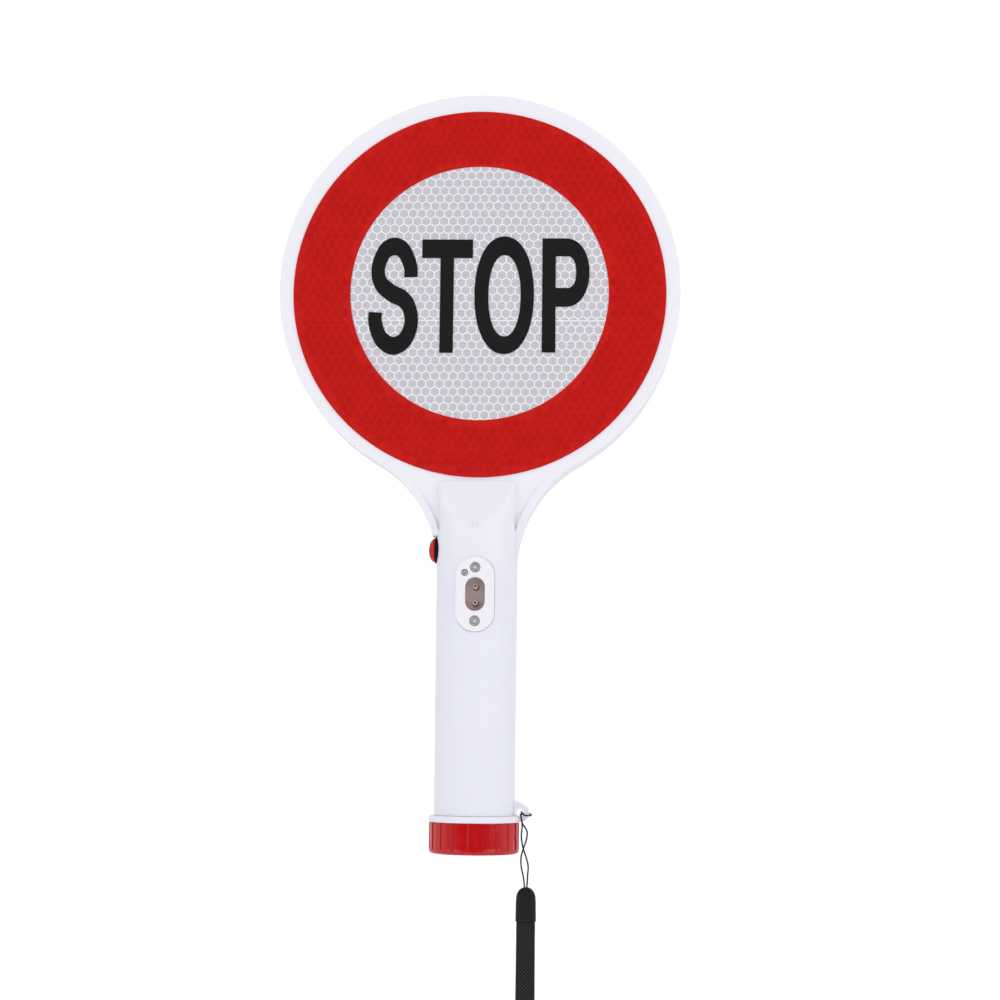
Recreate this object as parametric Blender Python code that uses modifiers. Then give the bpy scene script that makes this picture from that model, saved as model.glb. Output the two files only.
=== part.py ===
"""Illuminated stop paddle: a round two-shell head on a hollow battery handle.

Units are metres, +Z is up, and the front faces -Y. The origin is on the handle's
axis, in the middle of the grip.
"""
import math

import bmesh
import bpy
from mathutils import Matrix, Vector

# ---------------------------------------------------------------- driving dimensions
GAP = 0.0003                      # running gap between neighbouring pieces
PARTING = 0.00015                 # half the gap at the parting plane y = 0

HEAD_R = 0.0925
HEAD_Z = 0.1975
HEAD_HALF = 0.0095                # half the head's thickness
HEAD_WALL = 0.0024
HEAD_EDGE = 0.0016                # rounding of the head's rim
HEAD_SIDES = 72

GRIP_TOP_R = 0.01850
GRIP_END_R = 0.01815
GRIP_TOP_Z = 0.1083
GRIP_END_Z = -0.0419
GRIP_BORE_R = 0.0157
RAMP_LOW_Z = 0.0873               # where the flat ramp leaves the round grip
RAMP_TOP_Y = 0.0099               # how far the ramp stands out at the grip's top
NECK_LOW_Z = 0.0865               # the grip's section is round below, squarer above
NECK_POWER = 3.2                  # superellipse power of the section at the grip's top

FLARE_R = 0.0576                  # radius of the concave flare between grip and head
FLARE_LOW_Z = 0.0680              # where the flare runs out into the grip
BEAD_WIDTH = 0.0035               # raised edge left along the flare
FLARE_INSIDE_X = 0.0115           # the flare's outline starts inside the grip
FLARE_INSIDE_Z = 0.0520
FLARE_FULL_Z = 0.1130             # the flare thins from here down towards the grip
FLARE_THIN_Z = 0.0700
FLARE_THIN_HALF = 0.0040
WEB_DEPTH = 0.0016                # how far the web lies below the flare's bead
WEB_WALL = 0.0022
NECK_HOLLOW_LOW_Z = 0.0840
NECK_HOLLOW_TOP_Z = 0.1110
NECK_HOLLOW_LOW_HALF = 0.0022
CLEAR = 0.0120                    # how far a cutter reaches past the surface it opens

FILM_GAP = 0.0001
SHEET_R = 0.08595
SHEET_Z = 0.1960
SHEET_THICK = 0.0003
LETTER_Z = 0.1954
FIELD_R = 0.05955                 # grey field inside the red band
BAND_THICK = 0.0001
LETTER_THICK = 0.0002

SWITCH_Z = 0.0775
BEZEL_R = 0.0060
BEZEL_BORE_R = 0.00578
BUTTON_R = 0.00555
BEZEL_FACE_X = -0.0192
BUTTON_TIP_X = -0.0222

INLET_Z = 0.0563
PLATE_W = 0.01735
PLATE_H = 0.0338
PLATE_FACE_Y = -0.0190
PLATE_BACK_Y = -0.0161
SOCKET_W = 0.0089
SOCKET_H = 0.0152
SOCKET_FLOOR_Y = -0.0070
PIN_PITCH = 0.0073
PIN_R = 0.00115
SCREW_OFFSET = 0.0120
LAMP_X = -0.0047
LAMP_UP = 0.0096                  # the charge lamp's height above the inlet's middle
LAMP_WELL_R = 0.0016

COLLAR_R = 0.0204
COLLAR_TOP_Z = -0.0422
COLLAR_END_Z = -0.0449
SPIGOT_R = 0.0166
SPIGOT_BORE_R = 0.0143
SPIGOT_END_Z = -0.0563

CAP_R = 0.02025
CAP_TOP_Z = -0.0452
CAP_END_Z = -0.0591
CAP_BORE_R = 0.0178
CAP_MOUTH_R = 0.0192              # wider mouth that holds the sealing ring
CAP_STEP_Z = -0.0472
CAP_FLOOR_Z = -0.0570
CAP_FLUTES = 18
FLUTE_DEPTH = 0.00045
RIB_ANGLE = math.radians(2.7)
RIB_START = math.radians(-96.8)
THREAD_PITCH = 0.0035
THREAD_RIDGE = 0.0007
THREAD_LOW_Z = -0.0551

LUG_HALF = 0.0020
EYE_X = 0.02075
EYE_Z = -0.0409
EYE_R = 0.00185
LUG_R = 0.00405

CELL_R = 0.00915
CELL_LOW_Z = -0.0500
CELL_TOP_Z = 0.0150

CORD_R = 0.00037
CORD_STEP = 0.0021
CONNECTOR_X = 0.0236
CONNECTOR_TOP_Z = -0.0738
CONNECTOR_END_Z = -0.0889
WEBBING_W = 0.0084
WEBBING_THICK = 0.0012
WEBBING_END_Z = -0.2150
WEBBING_SPREAD = 0.0260           # half the loop's width at its widest

LED_COUNT = 8
LED_RING_R = 0.0760
LED_R = 0.0017
LED_HEIGHT = 0.0016
BOARD_HALF = 0.0006               # half a board's thickness
BOARD_REACH = 0.0040              # half the ring board's width
BOSS_COUNT = 4
BOSS_RING_R = 0.0620
POST_R = 0.0034
PEG_R = 0.0020
PILOT_R = 0.0013                  # hole that a self-tapping screw cuts its thread in
SCREW_CLEAR_R = 0.0016
SCREW_SEAT_R = 0.0029

CHARGER_LOW_Z = 0.0260
CHARGER_TOP_Z = 0.0800
CHARGER_FRONT_Y = 0.0032
CHARGER_BACK_Y = 0.0048
CAPACITOR_R = 0.0040
CRADLE_R = 0.0139
CRADLE_LOW_Z = -0.0551
CRADLE_TOP_Z = 0.0190
CONTACT_TOP_Z = 0.0207
WIRE_R = 0.0006
SPRING_WIRE_R = 0.00045

OBJECT_NAME = "stop_paddle"
CUTTER_NAME = "cutters"


# ---------------------------------------------------------------- scene and materials
def clear_scene():
    for old in list(bpy.data.objects):
        bpy.data.objects.remove(old, do_unlink=True)


def new_collection(name):
    made = bpy.data.collections.new(name)
    bpy.context.scene.collection.children.link(made)
    return made


def linear(value):
    value /= 255.0
    return value / 12.92 if value <= 0.04045 else ((value + 0.055) / 1.055) ** 2.4


def material(name, red, green, blue, roughness, metallic=0.0):
    made = bpy.data.materials.new(name)
    made.use_nodes = True
    shader = made.node_tree.nodes["Principled BSDF"]
    shader.inputs["Base Color"].default_value = (linear(red), linear(green), linear(blue), 1.0)
    shader.inputs["Roughness"].default_value = roughness
    shader.inputs["Metallic"].default_value = metallic
    made.diffuse_color = (linear(red), linear(green), linear(blue), 1.0)
    return made


def make_materials():
    return {
        "white": material("white_plastic", 236, 236, 245, 0.35),
        "plate": material("plate_plastic", 240, 240, 245, 0.30),
        "red_film": material("red_film", 190, 28, 26, 0.40),
        "sheeting": material("prismatic_sheeting", 200, 200, 206, 0.30),
        "black_film": material("black_film", 28, 28, 28, 0.45),
        "red_plastic": material("red_plastic", 180, 30, 35, 0.30),
        "button": material("button_plastic", 220, 45, 45, 0.25),
        "black": material("black_plastic", 32, 32, 32, 0.50),
        "socket": material("socket_plastic", 165, 150, 150, 0.45),
        "steel": material("steel", 170, 172, 170, 0.30, 1.0),
        "brass": material("brass", 205, 170, 95, 0.30, 1.0),
        "board": material("circuit_board", 40, 105, 60, 0.50),
        "rubber": material("seal_rubber", 35, 35, 35, 0.70),
        "cell": material("cell_wrap", 60, 95, 170, 0.35),
        "lens": material("led_lens", 235, 235, 210, 0.15),
        "cord": material("strap_fabric", 42, 42, 40, 0.85),
        "wire_red": material("red_wire", 190, 40, 35, 0.50),
        "wire_black": material("black_wire", 35, 35, 35, 0.50),
        "amber": material("capacitor_case", 190, 120, 50, 0.40),
    }


# ---------------------------------------------------------------- making shapes
def add_mesh_object(name, mesh, collection, surface=None):
    made = bpy.data.objects.new(name, mesh)
    collection.objects.link(made)
    if surface is not None:
        made.data.materials.append(surface)
    return made


def smooth(made, angle=35.0):
    made.data.shade_smooth()
    made.data.set_sharp_from_angle(angle=math.radians(angle))


def as_cutter(made):
    made.hide_render = True
    made.display_type = "WIRE"
    return made


def combine(target, other, operation):
    step = target.modifiers.new(f"{operation.lower()}_{other.name}", "BOOLEAN")
    step.operation = operation
    step.object = other
    step.solver = "EXACT"


def cut(target, *others):
    for other in others:
        combine(target, other, "DIFFERENCE")


def join(target, *others):
    for other in others:
        combine(target, other, "UNION")


def rounded(target, width, segments=2, angle=40.0):
    step = target.modifiers.new("rounded_edges", "BEVEL")
    step.width = width
    step.segments = segments
    step.limit_method = "ANGLE"
    step.angle_limit = math.radians(angle)
    step.harden_normals = False


def box(name, low, high, collection, surface=None):
    shape = bmesh.new()
    bmesh.ops.create_cube(shape, size=1.0)
    size = [high[i] - low[i] for i in range(3)]
    bmesh.ops.scale(shape, vec=size, verts=shape.verts)
    mesh = bpy.data.meshes.new(name)
    shape.to_mesh(mesh)
    shape.free()
    made = add_mesh_object(name, mesh, collection, surface)
    made.location = [(low[i] + high[i]) / 2.0 for i in range(3)]
    return made


AXIS_TURN = {
    "Z": (0.0, 0.0, 0.0),
    "X": (0.0, math.radians(90.0), 0.0),
    "Y": (math.radians(90.0), 0.0, 0.0),
}


def rod(name, radius, centre, length, axis, collection, surface=None, sides=24):
    """A cylinder about its centre."""
    shape = bmesh.new()
    bmesh.ops.create_cone(shape, cap_ends=True, segments=sides, radius1=radius, radius2=radius,
                          depth=length)
    mesh = bpy.data.meshes.new(name)
    shape.to_mesh(mesh)
    shape.free()
    made = add_mesh_object(name, mesh, collection, surface)
    made.location = centre
    made.rotation_euler = AXIS_TURN[axis]
    return made


def turned(name, profile, collection, surface=None, sides=48, closed=False):
    """A solid turned about its own Z. The profile runs down its outer side, top to bottom."""
    mesh = bpy.data.meshes.new(name)
    count = len(profile)
    edges = [(i, i + 1) for i in range(count - 1)]
    if closed:
        edges.append((count - 1, 0))
    mesh.from_pydata([(radius, 0.0, height) for radius, height in profile], edges, [])
    made = add_mesh_object(name, mesh, collection, surface)
    step = made.modifiers.new("turn", "SCREW")
    step.axis = "Z"
    step.steps = sides
    step.render_steps = sides
    step.use_merge_vertices = True
    step.merge_threshold = 0.00001
    return made


def curve_to_mesh(source, name, collection, surface=None):
    depsgraph = bpy.context.evaluated_depsgraph_get()
    mesh = bpy.data.meshes.new_from_object(source.evaluated_get(depsgraph))
    shape = bmesh.new()
    shape.from_mesh(mesh)
    bmesh.ops.remove_doubles(shape, verts=shape.verts, dist=0.000002)
    bmesh.ops.recalc_face_normals(shape, faces=shape.faces)
    shape.to_mesh(mesh)
    shape.free()
    mesh.materials.clear()
    made = add_mesh_object(name, mesh, collection, surface)
    made.matrix_world = source.matrix_world
    bpy.data.objects.remove(source, do_unlink=True)
    return made


def new_curve(name, flat, collection):
    data = bpy.data.curves.new(name, "CURVE")
    data.dimensions = "2D" if flat else "3D"
    data.resolution_u = 4
    data.render_resolution_u = 0
    made = bpy.data.objects.new(name, data)
    collection.objects.link(made)
    return made


def add_spline(data, points, closed):
    spline = data.splines.new("POLY")
    spline.points.add(len(points) - 1)
    for target, point in zip(spline.points, points):
        third = point[2] if len(point) > 2 else 0.0
        target.co = (point[0], point[1], third, 1.0)
    spline.use_cyclic_u = closed


def slab(name, loops, front_y, back_y, collection, surface=None, place=(0.0, 0.0)):
    """A flat outline in X and Z, with holes, between two planes that face along Y."""
    source = new_curve(name + "_outline", True, collection)
    source.data.fill_mode = "BOTH"
    source.data.extrude = abs(back_y - front_y) / 2.0
    for loop in loops:
        add_spline(source.data, loop, True)
    source.rotation_euler = AXIS_TURN["Y"]
    source.location = (place[0], (front_y + back_y) / 2.0, place[1])
    bpy.context.view_layer.update()
    return curve_to_mesh(source, name, collection, surface)


def catmull(points, per_span):
    """Points on a smooth curve through the given ones."""
    ends = [points[0]] + list(points) + [points[-1]]
    out = []
    for i in range(1, len(ends) - 2):
        before, start, end, after = (Vector(ends[i + k]) for k in (-1, 0, 1, 2))
        for k in range(per_span):
            t = k / per_span
            out.append(0.5 * (2.0 * start + (end - before) * t
                              + (2.0 * before - 5.0 * start + 4.0 * end - after) * t ** 2
                              + (3.0 * start - before - 3.0 * end + after) * t ** 3))
    out.append(Vector(ends[-2]))
    return out


def even_points(points, spacing):
    """The same line, with its points about one spacing apart."""
    lengths = [0.0]
    for start, end in zip(points, points[1:]):
        lengths.append(lengths[-1] + (end - start).length)
    count = max(2, round(lengths[-1] / spacing))
    out = []
    k = 0
    for i in range(count + 1):
        goal = lengths[-1] * i / count
        while k < len(points) - 2 and lengths[k + 1] < goal:
            k += 1
        share = (goal - lengths[k]) / (lengths[k + 1] - lengths[k])
        out.append(tuple(points[k].lerp(points[k + 1], min(1.0, share))))
    return out


def tube(name, points, radius, collection, surface=None, resolution=2):
    source = new_curve(name + "_path", False, collection)
    source.data.bevel_depth = radius
    source.data.bevel_resolution = resolution
    source.data.use_fill_caps = True
    add_spline(source.data, points, False)
    bpy.context.view_layer.update()
    return curve_to_mesh(source, name, collection, surface)


def arc(centre, radius, start, end, count):
    """Points on an arc, in degrees, both ends included."""
    out = []
    for i in range(count + 1):
        angle = math.radians(start + (end - start) * i / count)
        out.append((centre[0] + radius * math.cos(angle), centre[1] + radius * math.sin(angle)))
    return out


def circle(centre, radius, count):
    return arc(centre, radius, 0.0, 360.0, count)[:-1]


def oval(centre, half_w, half_h, power, count, start=0.0, end=360.0):
    """Points on a superellipse; power 2 is a plain ellipse."""
    out = []
    for i in range(count + 1):
        angle = math.radians(start + (end - start) * i / count)
        c, s = math.cos(angle), math.sin(angle)
        x = math.copysign(abs(c) ** (2.0 / power), c) * half_w
        z = math.copysign(abs(s) ** (2.0 / power), s) * half_h
        out.append((centre[0] + x, centre[1] + z))
    return out


def stadium(width, height, count=8):
    straight = (height - width) / 2.0
    top = arc((0.0, straight), width / 2.0, 0.0, 180.0, count)
    bottom = arc((0.0, -straight), width / 2.0, 180.0, 360.0, count)
    return top + bottom


# ---------------------------------------------------------------- the two shells
def flare_side(inset=0.0, count=10):
    """The concave arc from the grip up to the head's disc, on the right."""
    rise = HEAD_Z - FLARE_LOW_Z
    centre_x = math.sqrt((HEAD_R + FLARE_R) ** 2 - rise ** 2)
    tangent = math.degrees(math.atan2(rise, -centre_x))
    return arc((centre_x, FLARE_LOW_Z), FLARE_R + inset, 180.0, tangent, count)


def mirrored(points):
    return [(-x, z) for x, z in reversed(points)]


def between(points, low, high):
    """The stretch of a rising line from one level to another, cut to end on both."""
    out = []
    for (x0, z0), (x1, z1) in zip(points, points[1:]):
        for level in (low, high):
            if z0 < level <= z1:
                out.append((x0 + (x1 - x0) * (level - z0) / (z1 - z0), level))
        if low < z1 < high:
            out.append((x1, z1))
    return sorted(out, key=lambda point: point[1])


def body_outline():
    """The disc and the flared neck in one line. The left flare ends above the switch."""
    right = flare_side()
    touch = math.degrees(math.atan2(right[-1][1] - HEAD_Z, right[-1][0]))
    disc = arc((0.0, HEAD_Z), HEAD_R, touch, 180.0 - touch, HEAD_SIDES)
    switch_top = SWITCH_Z + BEZEL_R + GAP
    left = mirrored(between(right, switch_top, right[-1][1]))
    return ([(FLARE_INSIDE_X, FLARE_INSIDE_Z)] + right + disc[1:-1] + left
            + [(-FLARE_INSIDE_X, switch_top)])


def prism(name, near, far, collection):
    """A solid between two outlines that have the same number of points."""
    count = len(near)
    faces = [tuple(range(count)), tuple(range(2 * count - 1, count - 1, -1))]
    for k in range(count):
        after = (k + 1) % count
        faces.append((k, k + count, after + count, after))
    mesh = bpy.data.meshes.new(name)
    mesh.from_pydata(near + far, [], faces)
    shape = bmesh.new()
    shape.from_mesh(mesh)
    bmesh.ops.recalc_face_normals(shape, faces=shape.faces)
    shape.to_mesh(mesh)
    shape.free()
    return add_mesh_object(name, mesh, collection)


def flare_profile(depth, steps=7):
    """Half the flare's thickness against height, sunk to a depth: it thins towards the grip."""
    out = []
    for i in range(steps + 1):
        share = i / steps
        z = FLARE_FULL_Z + (FLARE_THIN_Z - FLARE_FULL_Z) * share
        y = HEAD_HALF + (FLARE_THIN_HALF - HEAD_HALF) * share ** 1.4
        out.append((y - depth * min(1.0, 1.6 * share), z))
    return out


def space_before(name, side, depth, collection):
    """All that stands in front of the flare's face on one side."""
    profile = flare_profile(depth)
    floor_z = FLARE_INSIDE_Z - CLEAR / 2.0
    far_y = HEAD_HALF + CLEAR
    profile += [(profile[-1][0], floor_z), (far_y, floor_z), (far_y, FLARE_FULL_Z)]
    half_w = FLARE_R
    return prism(name, [(-half_w, side * y, z) for y, z in profile],
                 [(half_w, side * y, z) for y, z in profile], collection)


def web_pocket(word, side, collection):
    """The recess between the flare's bead and the grip on one face."""
    right = [(FLARE_INSIDE_X, FLARE_INSIDE_Z)]
    right += between(flare_side(BEAD_WIDTH), FLARE_LOW_Z, FLARE_FULL_Z - 0.0010)
    pocket = slab(f"{word}_web_pocket", [right + mirrored(right)], min(0.0, side * 2.0 * HEAD_HALF),
                  max(0.0, side * 2.0 * HEAD_HALF), collection)
    combine(pocket, as_cutter(space_before(f"{word}_web_space", side, WEB_DEPTH, collection)),
            "INTERSECT")
    return as_cutter(pocket)


def neck_hollow(word, collection):
    """The space inside the flare, a wall's thickness under its faces."""
    right = between(flare_side(BEAD_WIDTH + WEB_WALL), NECK_HOLLOW_LOW_Z, NECK_HOLLOW_TOP_Z)
    loop = right + mirrored(right)
    slope = (HEAD_HALF - HEAD_WALL - NECK_HOLLOW_LOW_HALF) / (NECK_HOLLOW_TOP_Z - NECK_HOLLOW_LOW_Z)
    ring = [(x, NECK_HOLLOW_LOW_HALF + slope * (z - NECK_HOLLOW_LOW_Z), z) for x, z in loop]
    return as_cutter(prism(f"{word}_neck_hollow", [(x, -y, z) for x, y, z in ring], ring, collection))


def neck_section(height, count=40):
    """The grip's outline at a height, as a ring of points."""
    share = max(0.0, (height - NECK_LOW_Z) / (GRIP_TOP_Z - NECK_LOW_Z))
    power = 2.0 + (NECK_POWER - 2.0) * share ** 1.5
    return [(x, y, height) for x, y in oval((0.0, 0.0), GRIP_TOP_R, GRIP_TOP_R, power, count)[:-1]]


def make_grip(name, collection, steps=5):
    """The round handle, whose section turns squarer over the neck."""
    rise = (GRIP_TOP_Z - NECK_LOW_Z) / steps
    rings = [neck_section(GRIP_TOP_Z - rise * i) for i in range(steps + 1)]
    taper = GRIP_END_R / GRIP_TOP_R
    rings.append([(x * taper, y * taper, GRIP_END_Z) for x, y, _ in rings[-1]])
    count = len(rings[0])
    last = count * (len(rings) - 1)
    faces = [tuple(range(count)), tuple(range(last + count - 1, last - 1, -1))]
    for i in range(len(rings) - 1):
        for k in range(count):
            after = (k + 1) % count
            upper, lower = i * count, (i + 1) * count
            faces.append((upper + k, lower + k, lower + after, upper + after))
    mesh = bpy.data.meshes.new(name)
    mesh.from_pydata([point for ring in rings for point in ring], [], faces)
    return add_mesh_object(name, mesh, collection)


def ramp_cutter(name, side, collection):
    """The block that planes the grip's top end to a flat ramp."""
    lean = math.atan2(GRIP_TOP_R - RAMP_TOP_Y, GRIP_TOP_Z - RAMP_LOW_Z)
    size = 0.030
    made = box(name, (-size, min(0.0, side * size), -0.010), (size, max(0.0, side * size), 0.080),
               collection)
    made.data.transform(Matrix.Translation(made.location))
    made.rotation_euler = (side * lean, 0.0, 0.0)
    made.location = (0.0, side * GRIP_TOP_R, RAMP_LOW_Z)
    return as_cutter(made)


def make_body(name, side, kit, collection, cutters):
    """One half of the moulded body. side is -1 at the front and +1 at the rear."""
    word = "front" if side < 0 else "rear"
    shell = slab(name, [body_outline()], -HEAD_HALF, HEAD_HALF, collection, kit["white"])
    cut(shell, as_cutter(space_before(f"{word}_thinning", side, 0.0, cutters)))
    rounded(shell, HEAD_EDGE, segments=2)
    cut(shell, web_pocket(word, side, cutters))

    grip = make_grip(f"{word}_grip", cutters)
    cut(grip, ramp_cutter(f"{word}_ramp", side, cutters))
    join(shell, as_cutter(grip))

    cut(shell, head_hollow(word, cutters))
    cut(shell, grip_hollow(word, cutters))
    add_bosses(shell, word, side, cutters)
    add_switch_hole(shell, word, cutters)
    if side < 0:
        add_inlet_seat(shell, cutters)

    far = 0.12
    low = (-far, -PARTING, -far) if side < 0 else (-far, -far, -far)
    high = (far, far, 0.32) if side < 0 else (far, PARTING, 0.32)
    cut(shell, as_cutter(box(f"{word}_half_space", low, high, cutters)))
    smooth(shell)
    return shell


def head_hollow(word, cutters):
    """The space inside the head and the neck."""
    hollow = rod(f"{word}_head_hollow", HEAD_R - HEAD_WALL, (0.0, 0.0, HEAD_Z),
                 2.0 * (HEAD_HALF - HEAD_WALL), "Y", cutters, sides=HEAD_SIDES)
    join(hollow, neck_hollow(word, cutters))
    return as_cutter(hollow)


def grip_hollow(word, cutters):
    """The bore for the cell and the charger, open at the bottom."""
    below_end = GRIP_END_Z - 0.004
    neck_r, neck_top = 0.0085, 0.104
    bore = [(0.0, neck_top), (neck_r, neck_top), (0.0150, 0.082), (GRIP_BORE_R, 0.070),
            (GRIP_BORE_R, below_end), (0.0, below_end)]
    return as_cutter(turned(f"{word}_grip_hollow", bore, cutters, sides=32))


def ring_place(index, count, radius, offset=0.0):
    angle = math.radians(offset + 360.0 * index / count)
    return radius * math.cos(angle), HEAD_Z + radius * math.sin(angle)


def add_bosses(shell, word, side, cutters):
    """Four screw posts that hold the halves, and four short pegs behind the light board."""
    inner = HEAD_HALF - HEAD_WALL
    reach = inner + 0.0008
    for index in range(BOSS_COUNT):
        x, z = ring_place(index, BOSS_COUNT, BOSS_RING_R, 45.0)
        post = rod(f"{word}_post_{index + 1}", POST_R, (x, side * reach / 2.0, z), reach, "Y",
                   cutters, sides=16)
        join(shell, as_cutter(post))
        if side < 0:
            depth = 0.0062
            hole = rod(f"{word}_pilot_{index + 1}", PILOT_R, (x, -depth / 2.0 + 0.001, z),
                       depth + 0.002, "Y", cutters, sides=12)
            cut(shell, as_cutter(hole))
        else:
            hole = rod(f"{word}_clear_{index + 1}", SCREW_CLEAR_R, (x, 0.004, z), 0.016, "Y",
                       cutters, sides=12)
            seat = rod(f"{word}_seat_{index + 1}", SCREW_SEAT_R, (x, HEAD_HALF - 0.0009, z),
                       0.0048, "Y", cutters, sides=16)
            cut(shell, as_cutter(hole), as_cutter(seat))
    if side > 0:
        for index in range(BOSS_COUNT):
            x, z = ring_place(index, BOSS_COUNT, LED_RING_R, 0.0)
            peg_end = BOARD_HALF + GAP
            peg = rod(f"{word}_peg_{index + 1}", PEG_R, (x, (peg_end + reach) / 2.0, z),
                      reach - peg_end, "Y", cutters, sides=12)
            join(shell, as_cutter(peg))


def add_switch_hole(shell, word, cutters):
    hole = rod(f"{word}_switch_hole", BEZEL_R + GAP, (-0.0215, 0.0, SWITCH_Z), 0.0190, "X",
               cutters, sides=28)
    cut(shell, as_cutter(hole))


def add_inlet_seat(shell, cutters):
    """A flat seat for the inlet plate, with a pad behind it that takes the screws."""
    pad = box("inlet_pad", (-0.0075, -0.0166, INLET_Z - 0.0165), (0.0075, -0.0125, INLET_Z + 0.0165),
              cutters)
    join(shell, as_cutter(pad))
    seat = slab("inlet_seat", [stadium(PLATE_W + 2 * GAP, PLATE_H + 2 * GAP, 12)], -0.0250,
                PLATE_BACK_Y + GAP, cutters, place=(0.0, INLET_Z))
    well = slab("inlet_well", [stadium(0.0113, 0.0176, 8)], -0.0200, -0.0080, cutters,
                place=(0.0, INLET_Z))
    cut(shell, as_cutter(seat), as_cutter(well))
    for word, offset in (("upper", SCREW_OFFSET), ("lower", -SCREW_OFFSET)):
        hole = rod(f"inlet_pilot_{word}", PILOT_R, (0.0, -0.0140, INLET_Z + offset), 0.0100, "Y",
                   cutters, sides=12)
        cut(shell, as_cutter(hole))
    lamp = rod("indicator_well", LAMP_WELL_R, (LAMP_X, -0.0140, INLET_Z + LAMP_UP), 0.0100, "Y",
               cutters, sides=12)
    cut(shell, as_cutter(lamp))


# ---------------------------------------------------------------- films and letters
def letter_s(name, front, back, collection, surface):
    """An S as one stroke of even width, then narrowed so its uprights are thinner."""
    squeeze = 0.74
    stroke = 0.0083
    route = [(-0.0317, 0.0077), (-0.0320, 0.0130), (-0.0350, 0.0199), (-0.0395, 0.0222),
             (-0.0441, 0.0196), (-0.0469, 0.0115), (-0.0455, 0.0048), (-0.0405, 0.0002),
             (-0.0352, -0.0026), (-0.0321, -0.0072), (-0.0313, -0.0145), (-0.0342, -0.0218),
             (-0.0396, -0.0246), (-0.0451, -0.0212), (-0.0478, -0.0140), (-0.0479, -0.0089)]
    middle = sum(x for x, _ in route) / len(route)
    wide = [((x - middle) / squeeze, z, 0.0) for x, z in route]
    source = new_curve(name + "_stroke", True, collection)
    source.data.fill_mode = "NONE"
    source.data.extrude = abs(back - front) / 2.0
    add_spline(source.data, [tuple(point) for point in catmull(wide, 2)], False)
    made = curve_to_mesh(source, name + "_band", collection)
    step = made.modifiers.new("stroke", "SOLIDIFY")
    step.thickness = stroke
    step.offset = 0.0
    step.use_even_offset = True
    bpy.context.view_layer.update()
    made = curve_to_mesh(made, name, collection, surface)
    for vertex in made.data.vertices:
        vertex.co.x = vertex.co.x * squeeze + middle
    made.rotation_euler = AXIS_TURN["Y"]
    made.location = (0.0, (front + back) / 2.0, LETTER_Z)
    return made


def letter_t_loops():
    bar_top, bar_low, foot = 0.0255, 0.0168, -0.0277
    return [[(-0.0266, bar_top), (-0.0266, bar_low), (-0.0181, bar_low), (-0.0181, foot),
             (-0.0119, foot), (-0.0119, bar_low), (-0.0032, bar_low), (-0.0032, bar_top)]]


def letter_o_loops():
    return [oval((0.01142, -0.0006), 0.01368, 0.0276, 2.15, 32)[:-1],
            oval((0.01158, -0.0009), 0.00743, 0.0191, 2.15, 28)[:-1]]


def letter_p_loops():
    top, foot, bowl_low = 0.0261, -0.0274, -0.0060
    bowl = oval((0.0400, (top + bowl_low) / 2.0), 0.0106, (top - bowl_low) / 2.0, 2.1, 12, 90.0, -90.0)
    outer = [(0.0351, foot), (0.0289, foot), (0.0289, top)] + bowl + [(0.0351, bowl_low)]
    eye = oval((0.0405, 0.01025), 0.0040, 0.00745, 2.3, 8, 90.0, -90.0)
    return [outer, [(0.0351, 0.0028), (0.0351, 0.0177)] + eye]


def make_face(word, kit, collection):
    """The sheeting disc, its red band and the four letters, on one side of the head."""
    face_y = -HEAD_HALF
    sheet_back = face_y - FILM_GAP
    sheet_front = sheet_back - SHEET_THICK
    band_back = sheet_front - FILM_GAP
    band_front = band_back - BAND_THICK
    letter_front = band_back - LETTER_THICK
    centre = (0.0, SHEET_Z)
    made = [
        slab(f"{word}_sheeting", [circle((0.0, 0.0), SHEET_R, 64)], sheet_front, sheet_back,
             collection, kit["sheeting"], place=centre),
        slab(f"{word}_red_band", [circle((0.0, 0.0), SHEET_R, 64), circle((0.0, 0.0), FIELD_R, 48)],
             band_front, band_back, collection, kit["red_film"], place=centre),
        letter_s(f"{word}_letter_s", letter_front, band_back, collection, kit["black_film"]),
    ]
    for letter, loops in (("t", letter_t_loops()), ("o", letter_o_loops()), ("p", letter_p_loops())):
        made.append(slab(f"{word}_letter_{letter}", loops, letter_front, band_back, collection,
                         kit["black_film"], place=(0.0, LETTER_Z)))
    if word == "rear":
        for piece in made:
            piece.data.transform(Matrix.Rotation(math.pi, 4, "Z") @ piece.matrix_basis)
            piece.rotation_euler = (0.0, 0.0, 0.0)
            piece.location = (0.0, 0.0, 0.0)


# ---------------------------------------------------------------- lights and fasteners
def make_lights(kit, collection):
    slab("led_board", [circle((0.0, 0.0), LED_RING_R + BOARD_REACH, 40),
                       circle((0.0, 0.0), LED_RING_R - BOARD_REACH, 40)], -BOARD_HALF, BOARD_HALF,
         collection, kit["board"], place=(0.0, HEAD_Z))
    for index in range(LED_COUNT):
        x, z = ring_place(index, LED_COUNT, LED_RING_R, 22.5)
        rod(f"led_{index + 1}", LED_R, (x, -BOARD_HALF - GAP - LED_HEIGHT / 2.0, z), LED_HEIGHT,
            "Y", collection, kit["lens"], sides=12)


def make_shell_screws(kit, collection):
    for index in range(BOSS_COUNT):
        x, z = ring_place(index, BOSS_COUNT, BOSS_RING_R, 45.0)
        screw = turned(f"shell_screw_{index + 1}",
                       [(0.0, 0.0), (0.0026, 0.0), (0.0026, -0.0010), (0.0010, -0.0022),
                        (0.0010, -0.0125), (0.0, -0.0125)], collection, kit["steel"], sides=12)
        screw.rotation_euler = (math.radians(-90.0), 0.0, 0.0)
        screw.location = (x, HEAD_HALF - 0.0006, z)
        smooth(screw)


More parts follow.
